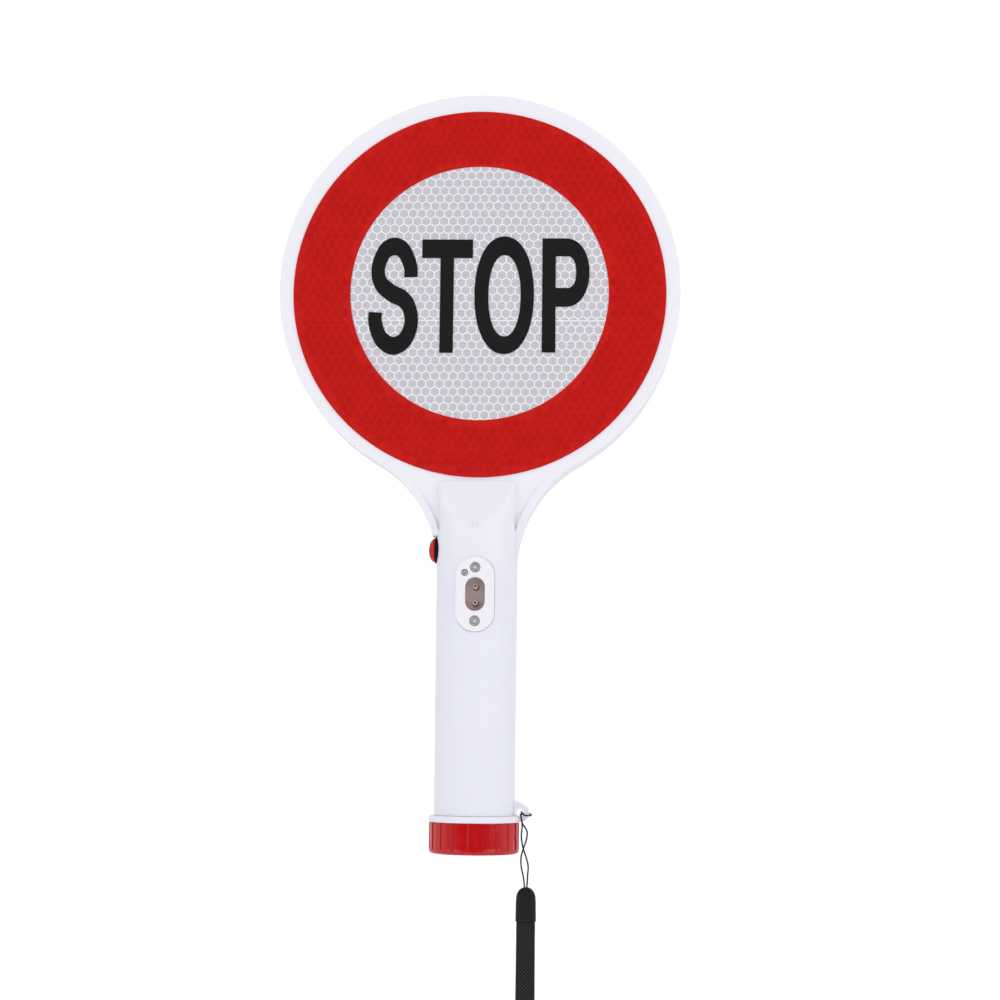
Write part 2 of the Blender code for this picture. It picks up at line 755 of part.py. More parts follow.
# ---------------------------------------------------------------- switch
def make_switch(kit, collection):
    bezel = turned("switch_bezel", [(BEZEL_BORE_R, 0.0), (BEZEL_R, -0.0002), (BEZEL_R, -0.0040),
                                    (0.0026, -0.0040), (0.0026, -0.0022), (BEZEL_BORE_R, -0.0022)],
                   collection, kit["black"], sides=24, closed=True)
    bezel.rotation_euler = (0.0, math.radians(-90.0), 0.0)
    bezel.location = (BEZEL_FACE_X, 0.0, SWITCH_Z)

    dome_rise = BEZEL_FACE_X - BUTTON_TIP_X
    dome = [(BUTTON_R * math.sin(math.radians(a)), dome_rise * math.cos(math.radians(a)))
            for a in (0.0, 25.0, 48.0, 70.0, 90.0)]
    profile = dome + [(BUTTON_R, -0.0004), (0.0022, -0.0004), (0.0022, -0.0068), (0.0, -0.0068)]
    button = turned("switch_button", profile, collection, kit["button"], sides=24)
    button.rotation_euler = (0.0, math.radians(-90.0), 0.0)
    button.location = (BEZEL_FACE_X, 0.0, SWITCH_Z)

    body = box("switch_body", (-0.0106, -0.0032, SWITCH_Z - 0.0032),
               (-0.0056, 0.0024, SWITCH_Z + 0.0032), collection, kit["black"])
    rounded(body, 0.0003, segments=1)
    for word, offset in (("upper", 0.0018), ("lower", -0.0018)):
        box(f"switch_terminal_{word}", (-0.0053, -0.0024, SWITCH_Z + offset - 0.0005),
            (-0.0028, -0.0020, SWITCH_Z + offset + 0.0005), collection, kit["brass"])
    smooth(bezel)
    smooth(button)


# ---------------------------------------------------------------- charging inlet
def make_inlet(kit, collection, cutters):
    plate = slab("inlet_plate", [stadium(PLATE_W, PLATE_H, 12), stadium(SOCKET_W, SOCKET_H, 8)],
                 PLATE_FACE_Y, PLATE_BACK_Y, collection, kit["plate"], place=(0.0, INLET_Z))
    lamp_hole = rod("indicator_hole", LAMP_WELL_R, (LAMP_X, -0.0175, INLET_Z + LAMP_UP), 0.0060,
                    "Y", cutters, sides=16)
    cut(plate, as_cutter(lamp_hole))
    for word, offset in (("upper", SCREW_OFFSET), ("lower", -SCREW_OFFSET)):
        z = INLET_Z + offset
        shank = rod(f"plate_hole_{word}", PILOT_R, (0.0, -0.0175, z), 0.0060, "Y", cutters, sides=12)
        seat = rod(f"plate_seat_{word}", 0.0024, (0.0, PLATE_FACE_Y, z), 0.0032, "Y", cutters,
                   sides=16)
        cut(plate, as_cutter(shank), as_cutter(seat))
        screw = turned(f"inlet_screw_{word}",
                       [(0.0, 0.0), (0.0019, -0.0001), (0.00215, -0.0004), (0.00215, -0.0011),
                        (0.0010, -0.0011), (0.0010, -0.0055), (0.0, -0.0055)],
                       collection, kit["steel"], sides=14)
        screw.rotation_euler = (math.radians(90.0), 0.0, 0.0)
        screw.location = (0.0, PLATE_FACE_Y + 0.0001, z)
        smooth(screw)

    body = slab("inlet_body", [stadium(SOCKET_W + 0.0016, SOCKET_H + 0.0016, 8)],
                PLATE_BACK_Y + GAP, SOCKET_FLOOR_Y + 0.0012, collection, kit["socket"],
                place=(0.0, INLET_Z))
    recess = slab("socket_recess", [stadium(SOCKET_W, SOCKET_H, 8)], -0.0200, SOCKET_FLOOR_Y,
                  cutters, place=(0.0, INLET_Z))
    cut(body, as_cutter(recess))
    for word, offset in (("upper", PIN_PITCH / 2.0), ("lower", -PIN_PITCH / 2.0)):
        z = INLET_Z + offset
        way = rod(f"pin_way_{word}", PIN_R + GAP, (0.0, SOCKET_FLOOR_Y, z), 0.0060, "Y", cutters,
                  sides=12)
        cut(body, as_cutter(way))
        pin = turned(f"inlet_pin_{word}", [(0.0, 0.0), (PIN_R * 0.6, 0.0), (PIN_R, -0.0006),
                                           (PIN_R, -0.0120), (0.0, -0.0120)],
                     collection, kit["steel"], sides=12)
        pin.rotation_euler = (math.radians(90.0), 0.0, 0.0)
        pin.location = (0.0, -0.0158, z)
        smooth(pin)

    lamp = turned("charge_indicator", [(0.0, 0.0), (0.0008, -0.0002), (0.00125, -0.0010),
                                       (0.00125, -0.0050), (0.0, -0.0050)],
                  collection, kit["lens"], sides=16)
    lamp.rotation_euler = (math.radians(90.0), 0.0, 0.0)
    lamp.location = (LAMP_X, -0.0172, INLET_Z + LAMP_UP)
    smooth(lamp)


def make_charger(kit, collection):
    half_w = 0.0105
    box("charger_board", (-half_w, CHARGER_FRONT_Y, CHARGER_LOW_Z),
        (half_w, CHARGER_BACK_Y, CHARGER_TOP_Z), collection, kit["board"])
    can = rod("charger_capacitor", CAPACITOR_R, (0.0, CHARGER_BACK_Y + GAP + CAPACITOR_R, 0.0500),
              0.0160, "Z", collection, kit["amber"], sides=20)
    smooth(can)


# ---------------------------------------------------------------- battery
def make_battery(kit, collection, cutters):
    cell = turned("battery_cell", [(0.0, CELL_TOP_Z + 0.0012), (0.0030, CELL_TOP_Z + 0.0012),
                                   (0.0030, CELL_TOP_Z), (0.0086, CELL_TOP_Z),
                                   (CELL_R, CELL_TOP_Z - 0.0006), (CELL_R, CELL_LOW_Z + 0.0006),
                                   (0.0086, CELL_LOW_Z), (0.0, CELL_LOW_Z)],
                  collection, kit["cell"], sides=24)
    smooth(cell)

    inner, eye = CELL_R + GAP, 0.0038
    ceiling = CRADLE_TOP_Z - 0.0022
    cradle = turned("battery_cradle", [(eye, CRADLE_TOP_Z), (CRADLE_R, CRADLE_TOP_Z),
                                       (CRADLE_R, CRADLE_LOW_Z), (inner, CRADLE_LOW_Z),
                                       (inner, ceiling), (eye, ceiling)],
                    collection, kit["black"], sides=28, closed=True)
    slot = box("strip_slot", (-0.0126, -0.0030, CRADLE_LOW_Z - CLEAR),
               (-0.0112, 0.0030, CRADLE_TOP_Z + CLEAR), cutters)
    cut(cradle, as_cutter(slot))
    smooth(cradle)

    box("return_strip", (-0.0122, -0.0025, CRADLE_LOW_Z - 0.0007), (-0.0116, 0.0025, 0.0240),
        collection, kit["brass"])
    flange_r, stem_r = 0.0060, 0.0032
    flange_z = CRADLE_TOP_Z + GAP
    contact = turned("positive_contact", [(0.0, CONTACT_TOP_Z), (flange_r, CONTACT_TOP_Z),
                                          (flange_r, flange_z), (stem_r, flange_z),
                                          (stem_r, 0.0166), (0.0, 0.0165)],
                     collection, kit["brass"], sides=24)
    smooth(contact)


# ---------------------------------------------------------------- collar and end cap
def thread_ridge(name, radius, low, turns, phase, cutters):
    """A right-hand helical ridge about Z; a phase of half a turn lies between another's turns."""
    per_turn = 20
    count = int(per_turn * turns)
    points = []
    for i in range(count + 1):
        angle = 2.0 * math.pi * i / per_turn
        height = low + THREAD_PITCH * (angle + phase) / (2.0 * math.pi)
        points.append((radius * math.cos(angle), radius * math.sin(angle), height))
    return as_cutter(tube(name, points, THREAD_RIDGE, cutters, resolution=0))


def lug_outline():
    """The strap lug: a ring round the eye that runs up to the grip in a straight slope."""
    ring = arc((EYE_X, EYE_Z), LUG_R, -100.0, 58.0, 10)
    inner_x = GRIP_END_R + GAP + 0.0001
    return ring + [(inner_x, -0.0353), (inner_x, COLLAR_TOP_Z - 0.0015)]


def make_collar(kit, collection, cutters):
    sleeve_r = GRIP_BORE_R - GAP
    sleeve_top = -0.0340
    profile = [(SPIGOT_BORE_R, sleeve_top), (sleeve_r, sleeve_top), (sleeve_r, COLLAR_TOP_Z),
               (COLLAR_R - 0.0004, COLLAR_TOP_Z), (COLLAR_R, COLLAR_TOP_Z - 0.0004),
               (COLLAR_R, COLLAR_END_Z), (SPIGOT_R, COLLAR_END_Z), (SPIGOT_R, SPIGOT_END_Z + 0.0006),
               (SPIGOT_R - 0.0006, SPIGOT_END_Z), (SPIGOT_BORE_R, SPIGOT_END_Z)]
    collar = turned("handle_collar", profile, collection, kit["white"], sides=40, closed=True)
    lug = slab("strap_lug", [lug_outline()], -LUG_HALF, LUG_HALF, cutters)
    rounded(lug, 0.0005, segments=1)
    eye = rod("strap_eye", EYE_R, (EYE_X, 0.0, EYE_Z), 0.0100, "Y", cutters, sides=16)
    ridge = thread_ridge("spigot_thread", SPIGOT_R, THREAD_LOW_Z, 2.0, 0.0, cutters)
    join(collar, as_cutter(lug), ridge)
    cut(collar, as_cutter(eye))
    smooth(collar)


def flute_outline():
    """The cap's fluted outline: narrow ribs at full radius, with shallow troughs between them."""
    out = []
    pitch = 2.0 * math.pi / CAP_FLUTES
    trough = CAP_R - FLUTE_DEPTH
    slope = math.radians(1.2)
    for index in range(CAP_FLUTES):
        start = RIB_START + index * pitch
        marks = [(start - RIB_ANGLE / 2.0, CAP_R), (start + RIB_ANGLE / 2.0, CAP_R),
                 (start + RIB_ANGLE / 2.0 + slope, trough),
                 (start + pitch - RIB_ANGLE / 2.0 - slope, trough)]
        out += [(radius * math.cos(angle), radius * math.sin(angle)) for angle, radius in marks]
    return out


def seal_ring(name, major, minor, centre, collection, surface):
    ring = [(major + r, z) for r, z in reversed(circle((0.0, 0.0), minor, 6))]
    made = turned(name, ring, collection, surface, sides=32, closed=True)
    made.location = centre
    return made


def make_end_cap(kit, collection, cutters):
    base = [(0.0, CAP_END_Z + 0.0042), (CAP_R, CAP_END_Z + 0.0042), (CAP_R, CAP_END_Z + 0.0015)]
    base += [(CAP_R - 0.0015 + r, CAP_END_Z + 0.0015 + z)
             for r, z in arc((0.0, 0.0), 0.0015, -22.5, -90.0, 3)]
    base.append((0.0, CAP_END_Z))
    cap = turned("end_cap", base, collection, kit["red_plastic"], sides=54)

    band_height = CAP_TOP_Z - (CAP_END_Z + 0.0015)
    source = new_curve("flute_band_outline", True, cutters)
    source.data.fill_mode = "BOTH"
    source.data.extrude = band_height / 2.0
    add_spline(source.data, flute_outline(), True)
    source.location = (0.0, 0.0, CAP_TOP_Z - band_height / 2.0)
    bpy.context.view_layer.update()
    band = curve_to_mesh(source, "flute_band", cutters)
    trough_ring = turned("flute_relief", [(CAP_R + 0.002, CAP_TOP_Z + 0.002),
                                          (CAP_R + 0.002, CAP_END_Z + 0.0015),
                                          (CAP_R - FLUTE_DEPTH - 0.0002, CAP_END_Z + 0.0015),
                                          (CAP_R - FLUTE_DEPTH - 0.0002, CAP_TOP_Z + 0.002)],
                         cutters, sides=54, closed=True)
    cut(cap, as_cutter(trough_ring))
    join(cap, as_cutter(band))

    open_z = CAP_TOP_Z + 0.0060
    bore = turned("cap_bore", [(0.0, open_z), (CAP_MOUTH_R, open_z), (CAP_MOUTH_R, CAP_STEP_Z),
                               (CAP_BORE_R, CAP_STEP_Z), (CAP_BORE_R, CAP_FLOOR_Z),
                               (0.0, CAP_FLOOR_Z)], cutters, sides=36)
    cut(cap, as_cutter(bore))
    ridge = thread_ridge("cap_thread", CAP_BORE_R + 0.0001, THREAD_LOW_Z, 1.5, math.pi, cutters)
    join(cap, ridge)
    smooth(cap)

    seal = seal_ring("cap_seal", 0.01835, 0.0006, (0.0, 0.0, -0.0461), collection, kit["rubber"])
    smooth(seal, 80.0)
    plate_thick = 0.0006
    plate = rod("cap_contact_plate", 0.0136, (0.0, 0.0, CAP_FLOOR_Z + GAP + plate_thick / 2.0),
                plate_thick, "Z", collection, kit["brass"], sides=32)
    smooth(plate)
    spring_points = []
    turns, per_turn, wire = 3.5, 12, SPRING_WIRE_R
    low = CAP_FLOOR_Z + GAP + plate_thick + GAP + wire
    top = CELL_LOW_Z - GAP - wire
    count = int(turns * per_turn)
    for i in range(count + 1):
        angle = 2.0 * math.pi * i / per_turn
        radius = 0.0072 - 0.0030 * i / count
        spring_points.append((radius * math.cos(angle), radius * math.sin(angle),
                              low + (top - low) * i / count))
    spring = tube("battery_spring", spring_points, wire, collection, kit["steel"], resolution=0)
    smooth(spring, 80.0)
    return cap, seal, plate, spring


# ---------------------------------------------------------------- wrist strap
CORD_ROUTE = [
    (0.0230, 0.0000, CONNECTOR_TOP_Z + GAP), (0.0225, 0.0000, -0.0700), (0.0213, -0.0002, -0.0640),
    (0.0214, -0.0005, -0.0602), (0.0222, -0.0007, -0.0571), (0.0236, -0.0010, -0.0530),
    (0.0240, -0.0018, -0.0496), (0.0231, -0.0026, -0.0474), (0.0219, -0.0031, -0.0456),
    (0.0215, -0.0032, -0.0440), (0.0211, -0.0031, -0.0425), (0.0208, -0.0014, -0.0419),
    (0.0207, 0.0014, -0.0418), (0.0209, 0.0029, -0.0420), (0.0224, 0.0034, -0.0413),
    (0.0243, 0.0032, -0.0413), (0.0256, 0.0020, -0.0416), (0.0257, 0.0000, -0.0418),
    (0.0255, -0.0018, -0.0420), (0.0243, -0.0032, -0.0420), (0.0228, -0.0031, -0.0419),
    (0.0219, -0.0024, -0.0414), (0.0217, -0.0008, -0.0411), (0.0216, 0.0010, -0.0409),
    (0.0214, 0.0030, -0.0405), (0.0210, 0.0043, -0.0420), (0.0214, 0.0040, -0.0446),
    (0.0216, 0.0028, -0.0474), (0.0213, 0.0014, -0.0512), (0.0217, 0.0009, -0.0545),
    (0.0223, 0.0007, -0.0571), (0.0235, 0.0005, -0.0605), (0.0245, 0.0002, -0.0645),
    (0.0243, 0.0000, -0.0690), (0.0240, 0.0000, CONNECTOR_TOP_Z + GAP),
]


def webbing_centreline():
    """The hanging loop, opening front to back: two runs that part and meet in a round bight."""
    top = CONNECTOR_END_Z - GAP
    start_y = 0.0010
    half = [(start_y, top), (start_y + 0.0004, top - 0.0120), (0.0062, top - 0.0330),
            (0.0150, top - 0.0590), (0.0228, top - 0.0850), (WEBBING_SPREAD, WEBBING_END_Z + 0.0220),
            (0.0222, WEBBING_END_Z + 0.0090), (0.0115, WEBBING_END_Z + 0.0018)]
    right = half + [(0.0, WEBBING_END_Z)]
    left = [(-y, z) for y, z in reversed(half)]
    return [(y, z, 0.0) for y, z in right + left]


def make_strap(kit, collection):
    cord = tube("strap_cord", even_points(catmull(CORD_ROUTE, 8), CORD_STEP), CORD_R, collection,
                kit["cord"])
    smooth(cord, 80.0)

    height = CONNECTOR_TOP_Z - CONNECTOR_END_Z
    half_w = 0.0046
    outline = oval((0.0, -0.0052), half_w - 0.0003, 0.0052, 2.2, 14, 180.0, 0.0)
    outline += [(half_w + 0.0001, -height), (-half_w - 0.0001, -height)]
    connector = slab("strap_connector", [outline], -0.0025, 0.0025, collection, kit["black"],
                     place=(CONNECTOR_X, CONNECTOR_TOP_Z))
    rounded(connector, 0.0012, segments=2, angle=60.0)
    smooth(connector)

    source = new_curve("strap_webbing_path", True, collection)
    source.data.fill_mode = "NONE"
    source.data.extrude = WEBBING_W / 2.0
    add_spline(source.data, [tuple(p) for p in catmull(webbing_centreline(), 2)], False)
    source.rotation_euler = (math.radians(90.0), 0.0, math.radians(90.0))
    source.location = (CONNECTOR_X, 0.0, 0.0)
    bpy.context.view_layer.update()
    webbing = curve_to_mesh(source, "strap_webbing", collection, kit["cord"])
    step = webbing.modifiers.new("thickness", "SOLIDIFY")
    step.thickness = WEBBING_THICK
    step.offset = 0.0
    step.use_even_offset = True
    smooth(webbing)
    return cord, connector, webbing


# ---------------------------------------------------------------- wires
def make_wires(kit, collection):
    per_span = 2
    for word, x, surface in (("positive", 0.0035, "wire_red"), ("negative", -0.0035, "wire_black")):
        route = [(x, 0.0040, CHARGER_TOP_Z + GAP), (x, 0.0030, 0.0850), (x * 1.4, 0.0008, 0.0930),
                 (x * 1.9, 0.0, 0.1040), (x * 1.5, 0.0, 0.1120),
                 (x, 0.0, HEAD_Z - LED_RING_R - BOARD_REACH - GAP)]
        points = [tuple(p) for p in catmull(route, per_span)]
        wire = tube(f"wire_led_{word}", points, WIRE_R, collection, kit[surface])
        smooth(wire, 80.0)
    route = [(0.0, 0.0, CONTACT_TOP_Z + GAP), (0.0003, 0.0010, 0.0222), (0.0010, 0.0030, 0.0240),
             (0.0010, 0.0040, CHARGER_LOW_Z - GAP)]
    points = [tuple(p) for p in catmull(route, per_span)]
    wire = tube("wire_battery", points, WIRE_R, collection, kit["wire_red"])
    smooth(wire, 80.0)


# ---------------------------------------------------------------- assembly
def empty(name, place, collection):
    made = bpy.data.objects.new(name, None)
    collection.objects.link(made)
    made.location = place
    return made


def attach(pivot, pieces):
    """Parent the pieces to the pivot without moving them."""
    bpy.context.view_layer.update()
    for piece in pieces:
        piece.parent = pivot
        piece.matrix_parent_inverse = pivot.matrix_world.inverted()


def main():
    clear_scene()
    collection = new_collection(OBJECT_NAME)
    cutters = new_collection(CUTTER_NAME)
    kit = make_materials()

    make_body("front_shell", -1, kit, collection, cutters)
    make_body("rear_shell", 1, kit, collection, cutters)
    make_face("front", kit, collection)
    make_face("rear", kit, collection)
    make_lights(kit, collection)
    make_shell_screws(kit, collection)
    make_switch(kit, collection)
    make_inlet(kit, collection, cutters)
    make_charger(kit, collection)
    make_battery(kit, collection, cutters)
    make_wires(kit, collection)
    make_collar(kit, collection, cutters)

    cap_pieces = make_end_cap(kit, collection, cutters)
    attach(empty("cap_axis", (0.0, 0.0, COLLAR_END_Z), collection), cap_pieces)
    strap_pieces = make_strap(kit, collection)
    attach(empty("strap_pivot", (EYE_X, 0.0, EYE_Z), collection), strap_pieces)


main()
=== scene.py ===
"""The looks of the illuminated stop paddle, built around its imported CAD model.

Units are metres, +Z is up and the front faces -Y. Shapes that the CAD keeps coarse are
made again here at the same sizes, with finer edges, and every surface gets its material.
"""
import math

import bmesh
import bpy
from mathutils import Matrix, Vector


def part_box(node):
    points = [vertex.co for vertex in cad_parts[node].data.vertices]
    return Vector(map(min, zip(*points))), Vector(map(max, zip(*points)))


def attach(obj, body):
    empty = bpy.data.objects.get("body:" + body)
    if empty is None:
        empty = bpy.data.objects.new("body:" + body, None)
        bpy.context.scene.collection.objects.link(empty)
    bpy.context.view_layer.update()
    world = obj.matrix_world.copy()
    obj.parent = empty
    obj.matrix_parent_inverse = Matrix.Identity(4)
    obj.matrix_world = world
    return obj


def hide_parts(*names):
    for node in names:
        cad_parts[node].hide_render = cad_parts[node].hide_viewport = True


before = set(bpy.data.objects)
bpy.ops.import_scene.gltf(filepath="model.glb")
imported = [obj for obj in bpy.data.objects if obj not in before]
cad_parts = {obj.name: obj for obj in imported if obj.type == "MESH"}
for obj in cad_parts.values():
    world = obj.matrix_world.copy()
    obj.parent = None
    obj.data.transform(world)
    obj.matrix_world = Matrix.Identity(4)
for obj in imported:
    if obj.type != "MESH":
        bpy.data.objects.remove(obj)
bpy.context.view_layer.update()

SCENE = bpy.context.scene

# ---- sizes
# The frame's boxes give what they can; the other numbers are the CAD's own.
HEAD_LOW, HEAD_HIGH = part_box("front_shell")
SHEET_LOW, SHEET_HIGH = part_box("front_sheeting")
BAND_LOW, BAND_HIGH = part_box("front_red_band")
LETTER_LOW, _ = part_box("front_letter_t")
BEZEL_LOW, BEZEL_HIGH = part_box("switch_bezel")
BUTTON_LOW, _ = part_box("switch_button")
PLATE_LOW, PLATE_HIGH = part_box("inlet_plate")
SOCKET_LOW, SOCKET_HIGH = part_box("inlet_body")
PIN_LOW, PIN_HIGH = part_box("inlet_pin_upper")
CAP_LOW, CAP_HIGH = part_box("end_cap")
COLLAR_LOW, COLLAR_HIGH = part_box("handle_collar")
CONNECTOR_LOW, CONNECTOR_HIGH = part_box("strap_connector")
WEBBING_LOW, WEBBING_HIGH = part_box("strap_webbing")

HEAD_R = HEAD_HIGH.x
HEAD_Z = HEAD_HIGH.z - HEAD_R
HEAD_HALF = 0.0095                 # half its thickness
HEAD_WALL = 0.0024
HEAD_EDGE = 0.0018
PARTING = 0.00006                  # half the gap between the two shells

GRIP_TOP_R = 0.01850
GRIP_END_R = 0.01815
GRIP_TOP_Z = 0.1083
GRIP_END_Z = HEAD_LOW.z - 0.0002   # all but touching the collar
GRIP_BORE_R = 0.0157
RAMP_LOW_Z = 0.0873
RAMP_TOP_Y = 0.0099
NECK_LOW_Z = 0.0865
NECK_POWER = 3.2                   # how square the grip is at its top: 2 is round

FLARE_R = 0.0576
FLARE_LOW_Z = 0.0680
BEAD_WIDTH = 0.0035
FLARE_FULL_Z = 0.1130
FLARE_THIN_Z = 0.0700
FLARE_THIN_HALF = 0.0040
WEB_DEPTH = 0.0016
WEB_WALL = 0.0022
NECK_HOLLOW_LOW_Z = 0.0840
NECK_HOLLOW_TOP_Z = 0.1110
NECK_HOLLOW_HALF = 0.0022          # half its depth at its foot
FLARE_INSIDE = (0.0115, 0.0520)    # where the flare's outline starts, inside the grip
SWITCH_HOLE_R = 0.0063

SHEET_R = SHEET_HIGH.x
SHEET_Z = (SHEET_LOW.z + SHEET_HIGH.z) / 2.0
FIELD_R = 0.05955
HEX_PITCH = 0.00415
HEX_ROW = 0.00362
SEAM_WIDTH = 0.0005                # between two cells
CELL_RISE = 0.00006
RED_CELL_RISE = 0.00003            # the cells under the red film show through it less
LETTER_Z = SHEET_Z - 0.0006
WELD_Z = SHEET_Z - 0.0131          # the straight weld across the sheeting
CELL_ABOVE = (-0.0437, SHEET_Z + 0.0300)   # the centre of one cell on each side of the weld
CELL_BELOW = (-0.0241, SHEET_Z - 0.0174)

SWITCH_Z = (BEZEL_LOW.z + BEZEL_HIGH.z) / 2.0
INLET_Z = (PLATE_LOW.z + PLATE_HIGH.z) / 2.0
PLATE_W = PLATE_HIGH.x - PLATE_LOW.x
PLATE_H = PLATE_HIGH.z - PLATE_LOW.z
SOCKET_W = 0.0089
SOCKET_H = 0.0152
SOCKET_FLOOR_Y = -0.0070
SCREW_OFFSET = 0.0120
PIN_PITCH = 0.0073
LAMP_X = -0.0047
LAMP_Z = INLET_Z + 0.0096

COLLAR_R = 0.0204
COLLAR_TOP_Z = -0.0422
COLLAR_END_Z = CAP_HIGH.z + 0.0001
SPIGOT_R = 0.0166
SPIGOT_BORE_R = 0.0143
THREAD_PITCH = 0.0035
THREAD_RIDGE = 0.0007
THREAD_LOW_Z = COLLAR_LOW.z + 0.0012
CAP_R = CAP_HIGH.x
CAP_BORE_R = 0.0178
CAP_FLUTES = 18
FLUTE_DEPTH = 0.00045
RIB_START = math.radians(-96.8)    # where one of the cap's ribs stands

EYE_X = 0.02075
EYE_Z = -0.0409
EYE_R = 0.00185
LUG_R = 0.00405
LUG_HALF = 0.0020
LUG_TOP_Z = -0.0353

CORD_R = 0.00037
CONNECTOR_X = (CONNECTOR_LOW.x + CONNECTOR_HIGH.x) / 2.0
CONNECTOR_TOP_Z = CONNECTOR_HIGH.z
CONNECTOR_END_Z = CONNECTOR_LOW.z
WEBBING_W = WEBBING_HIGH.x - WEBBING_LOW.x
WEBBING_THICK = 0.0012
WEBBING_END_Z = -0.2150
WEBBING_SPREAD = 0.0260
CORD_GAP = 0.0003
CORD_SINK = 0.0008                 # how far the cord's ends run into the connector

# ---- shape helpers
QUARTER = math.radians(90.0)
TURN = {"X": (0.0, QUARTER, 0.0), "Y": (QUARTER, 0.0, 0.0)}   # from +Z to each axis
FACE_OUT = (QUARTER, 0.0, 0.0)     # from +Z to the front
FACE_LEFT = (0.0, -QUARTER, 0.0)


def add_object(name, data):
    made = bpy.data.objects.new(name, data)
    SCENE.collection.objects.link(made)
    return made


def mesh_object(name, points, faces):
    mesh = bpy.data.meshes.new(name)
    mesh.from_pydata([tuple(p) for p in points], [], faces)
    mesh.update()
    return add_object(name, mesh)


def bake(made):
    """Applies the modifiers and the object's place to its mesh."""
    bpy.context.view_layer.update()
    depsgraph = bpy.context.evaluated_depsgraph_get()
    mesh = bpy.data.meshes.new_from_object(made.evaluated_get(depsgraph))
    mesh.transform(made.matrix_world)
    name = made.name
    bpy.data.objects.remove(made, do_unlink=True)
    mesh.materials.clear()
    return add_object(name, mesh)


def tidy_mesh(made, distance=0.000002):
    """Joins points that lie together and turns every face outwards."""
    shape = bmesh.new()
    shape.from_mesh(made.data)
    bmesh.ops.remove_doubles(shape, verts=shape.verts, dist=distance)
    bmesh.ops.recalc_face_normals(shape, faces=shape.faces)
    shape.to_mesh(made.data)
    shape.free()
    return made


def smooth(made, angle=35.0):
    made.data.shade_smooth()
    made.data.set_sharp_from_angle(angle=math.radians(angle))
    return made


def combined(target, others, operation):
    """The target with a Boolean against each of the others, which are used up."""
    for other in others:
        step = target.modifiers.new("step", "BOOLEAN")
        step.operation = operation
        step.object = other
        step.solver = "EXACT"
    target = bake(target)
    for other in others:
        bpy.data.objects.remove(other, do_unlink=True)
    return target


def bevelled(made, width, segments=3, angle=35.0):
    step = made.modifiers.new("edges", "BEVEL")
    step.width = width
    step.segments = segments
    step.limit_method = "ANGLE"
    step.angle_limit = math.radians(angle)
    step.use_clamp_overlap = True
    return bake(made)


def even_shading(made, angle=35.0):
    """Smooth shading that keeps the large flat faces flat."""
    smooth(made, angle)
    step = made.modifiers.new("weighted", "WEIGHTED_NORMAL")
    step.keep_sharp = True
    return made


def placed(made, place, turn=(0.0, 0.0, 0.0)):
    made.location = place
    made.rotation_euler = turn
    return bake(made)


def shaped(name, shape):
    """The object made from a bmesh, which is used up."""
    mesh = bpy.data.meshes.new(name)
    shape.to_mesh(mesh)
    shape.free()
    return add_object(name, mesh)


def box(name, low, high):
    shape = bmesh.new()
    bmesh.ops.create_cube(shape, size=1.0)
    bmesh.ops.scale(shape, vec=[high[i] - low[i] for i in range(3)], verts=shape.verts)
    bmesh.ops.translate(shape, vec=[(low[i] + high[i]) / 2.0 for i in range(3)], verts=shape.verts)
    return shaped(name, shape)


def rod(name, radius, centre, length, axis, sides=48):
    shape = bmesh.new()
    bmesh.ops.create_cone(shape, cap_ends=True, segments=sides, radius1=radius, radius2=radius,
                          depth=length)
    return placed(shaped(name, shape), centre, TURN[axis])


def polar(radius, angle):
    return radius * math.cos(angle), radius * math.sin(angle)


def tube(name, points, count, distance=1e-8):
    """A solid over rows of count points: quads between the rows and a face over each end."""
    last = len(points) - count
    faces = []
    for row in range(0, last, count):
        for k in range(count):
            after = (k + 1) % count
            faces.append((row + k, row + after, row + count + after, row + count + k))
    faces += [tuple(reversed(range(count))), tuple(range(last, last + count))]
    return tidy_mesh(mesh_object(name, points, faces), distance)


def lathe(name, profile, sides=96, closed=False, place=(0.0, 0.0, 0.0), turn=(0.0, 0.0, 0.0),
          relief=None):
    """A solid turned about Z from (radius, height) points; relief(index, angle) thins it."""
    points, rings = [], []
    for index, (radius, height) in enumerate(profile):
        if radius < 1e-7:
            rings.append([len(points)])
            points.append((0.0, 0.0, height))
            continue
        ring = []
        for k in range(sides):
            angle = 2.0 * math.pi * k / sides
            local = radius - (relief(index, angle) if relief else 0.0)
            ring.append(len(points))
            points.append((*polar(local, angle), height))
        rings.append(ring)
    faces = []
    spans = list(zip(rings, rings[1:]))
    if closed:
        spans.append((rings[-1], rings[0]))
    for upper, lower in spans:
        if len(upper) == 1 and len(lower) == 1:
            continue
        for k in range(sides):
            after = (k + 1) % sides
            if len(upper) == 1:
                faces.append((upper[0], lower[k], lower[after]))
            elif len(lower) == 1:
                faces.append((upper[k], lower[0], upper[after]))
            else:
                faces.append((upper[k], lower[k], lower[after], upper[after]))
    made = mesh_object(name, points, faces)
    return placed(tidy_mesh(made, 1e-8), place, turn)


def arc(centre, radius, start, end, count):
    out = []
    for i in range(count + 1):
        angle = math.radians(start + (end - start) * i / count)
        out.append((centre[0] + radius * math.cos(angle), centre[1] + radius * math.sin(angle)))
    return out


def circle(centre, radius, count):
    return arc(centre, radius, 0.0, 360.0, count)[:-1]


def dome(radius, rise, step, base=0.0):
    """A quarter of an ellipse, from the axis out to the radius."""
    return [(radius * math.sin(math.radians(a)), base + rise * math.cos(math.radians(a)))
            for a in range(0, 91, step)]


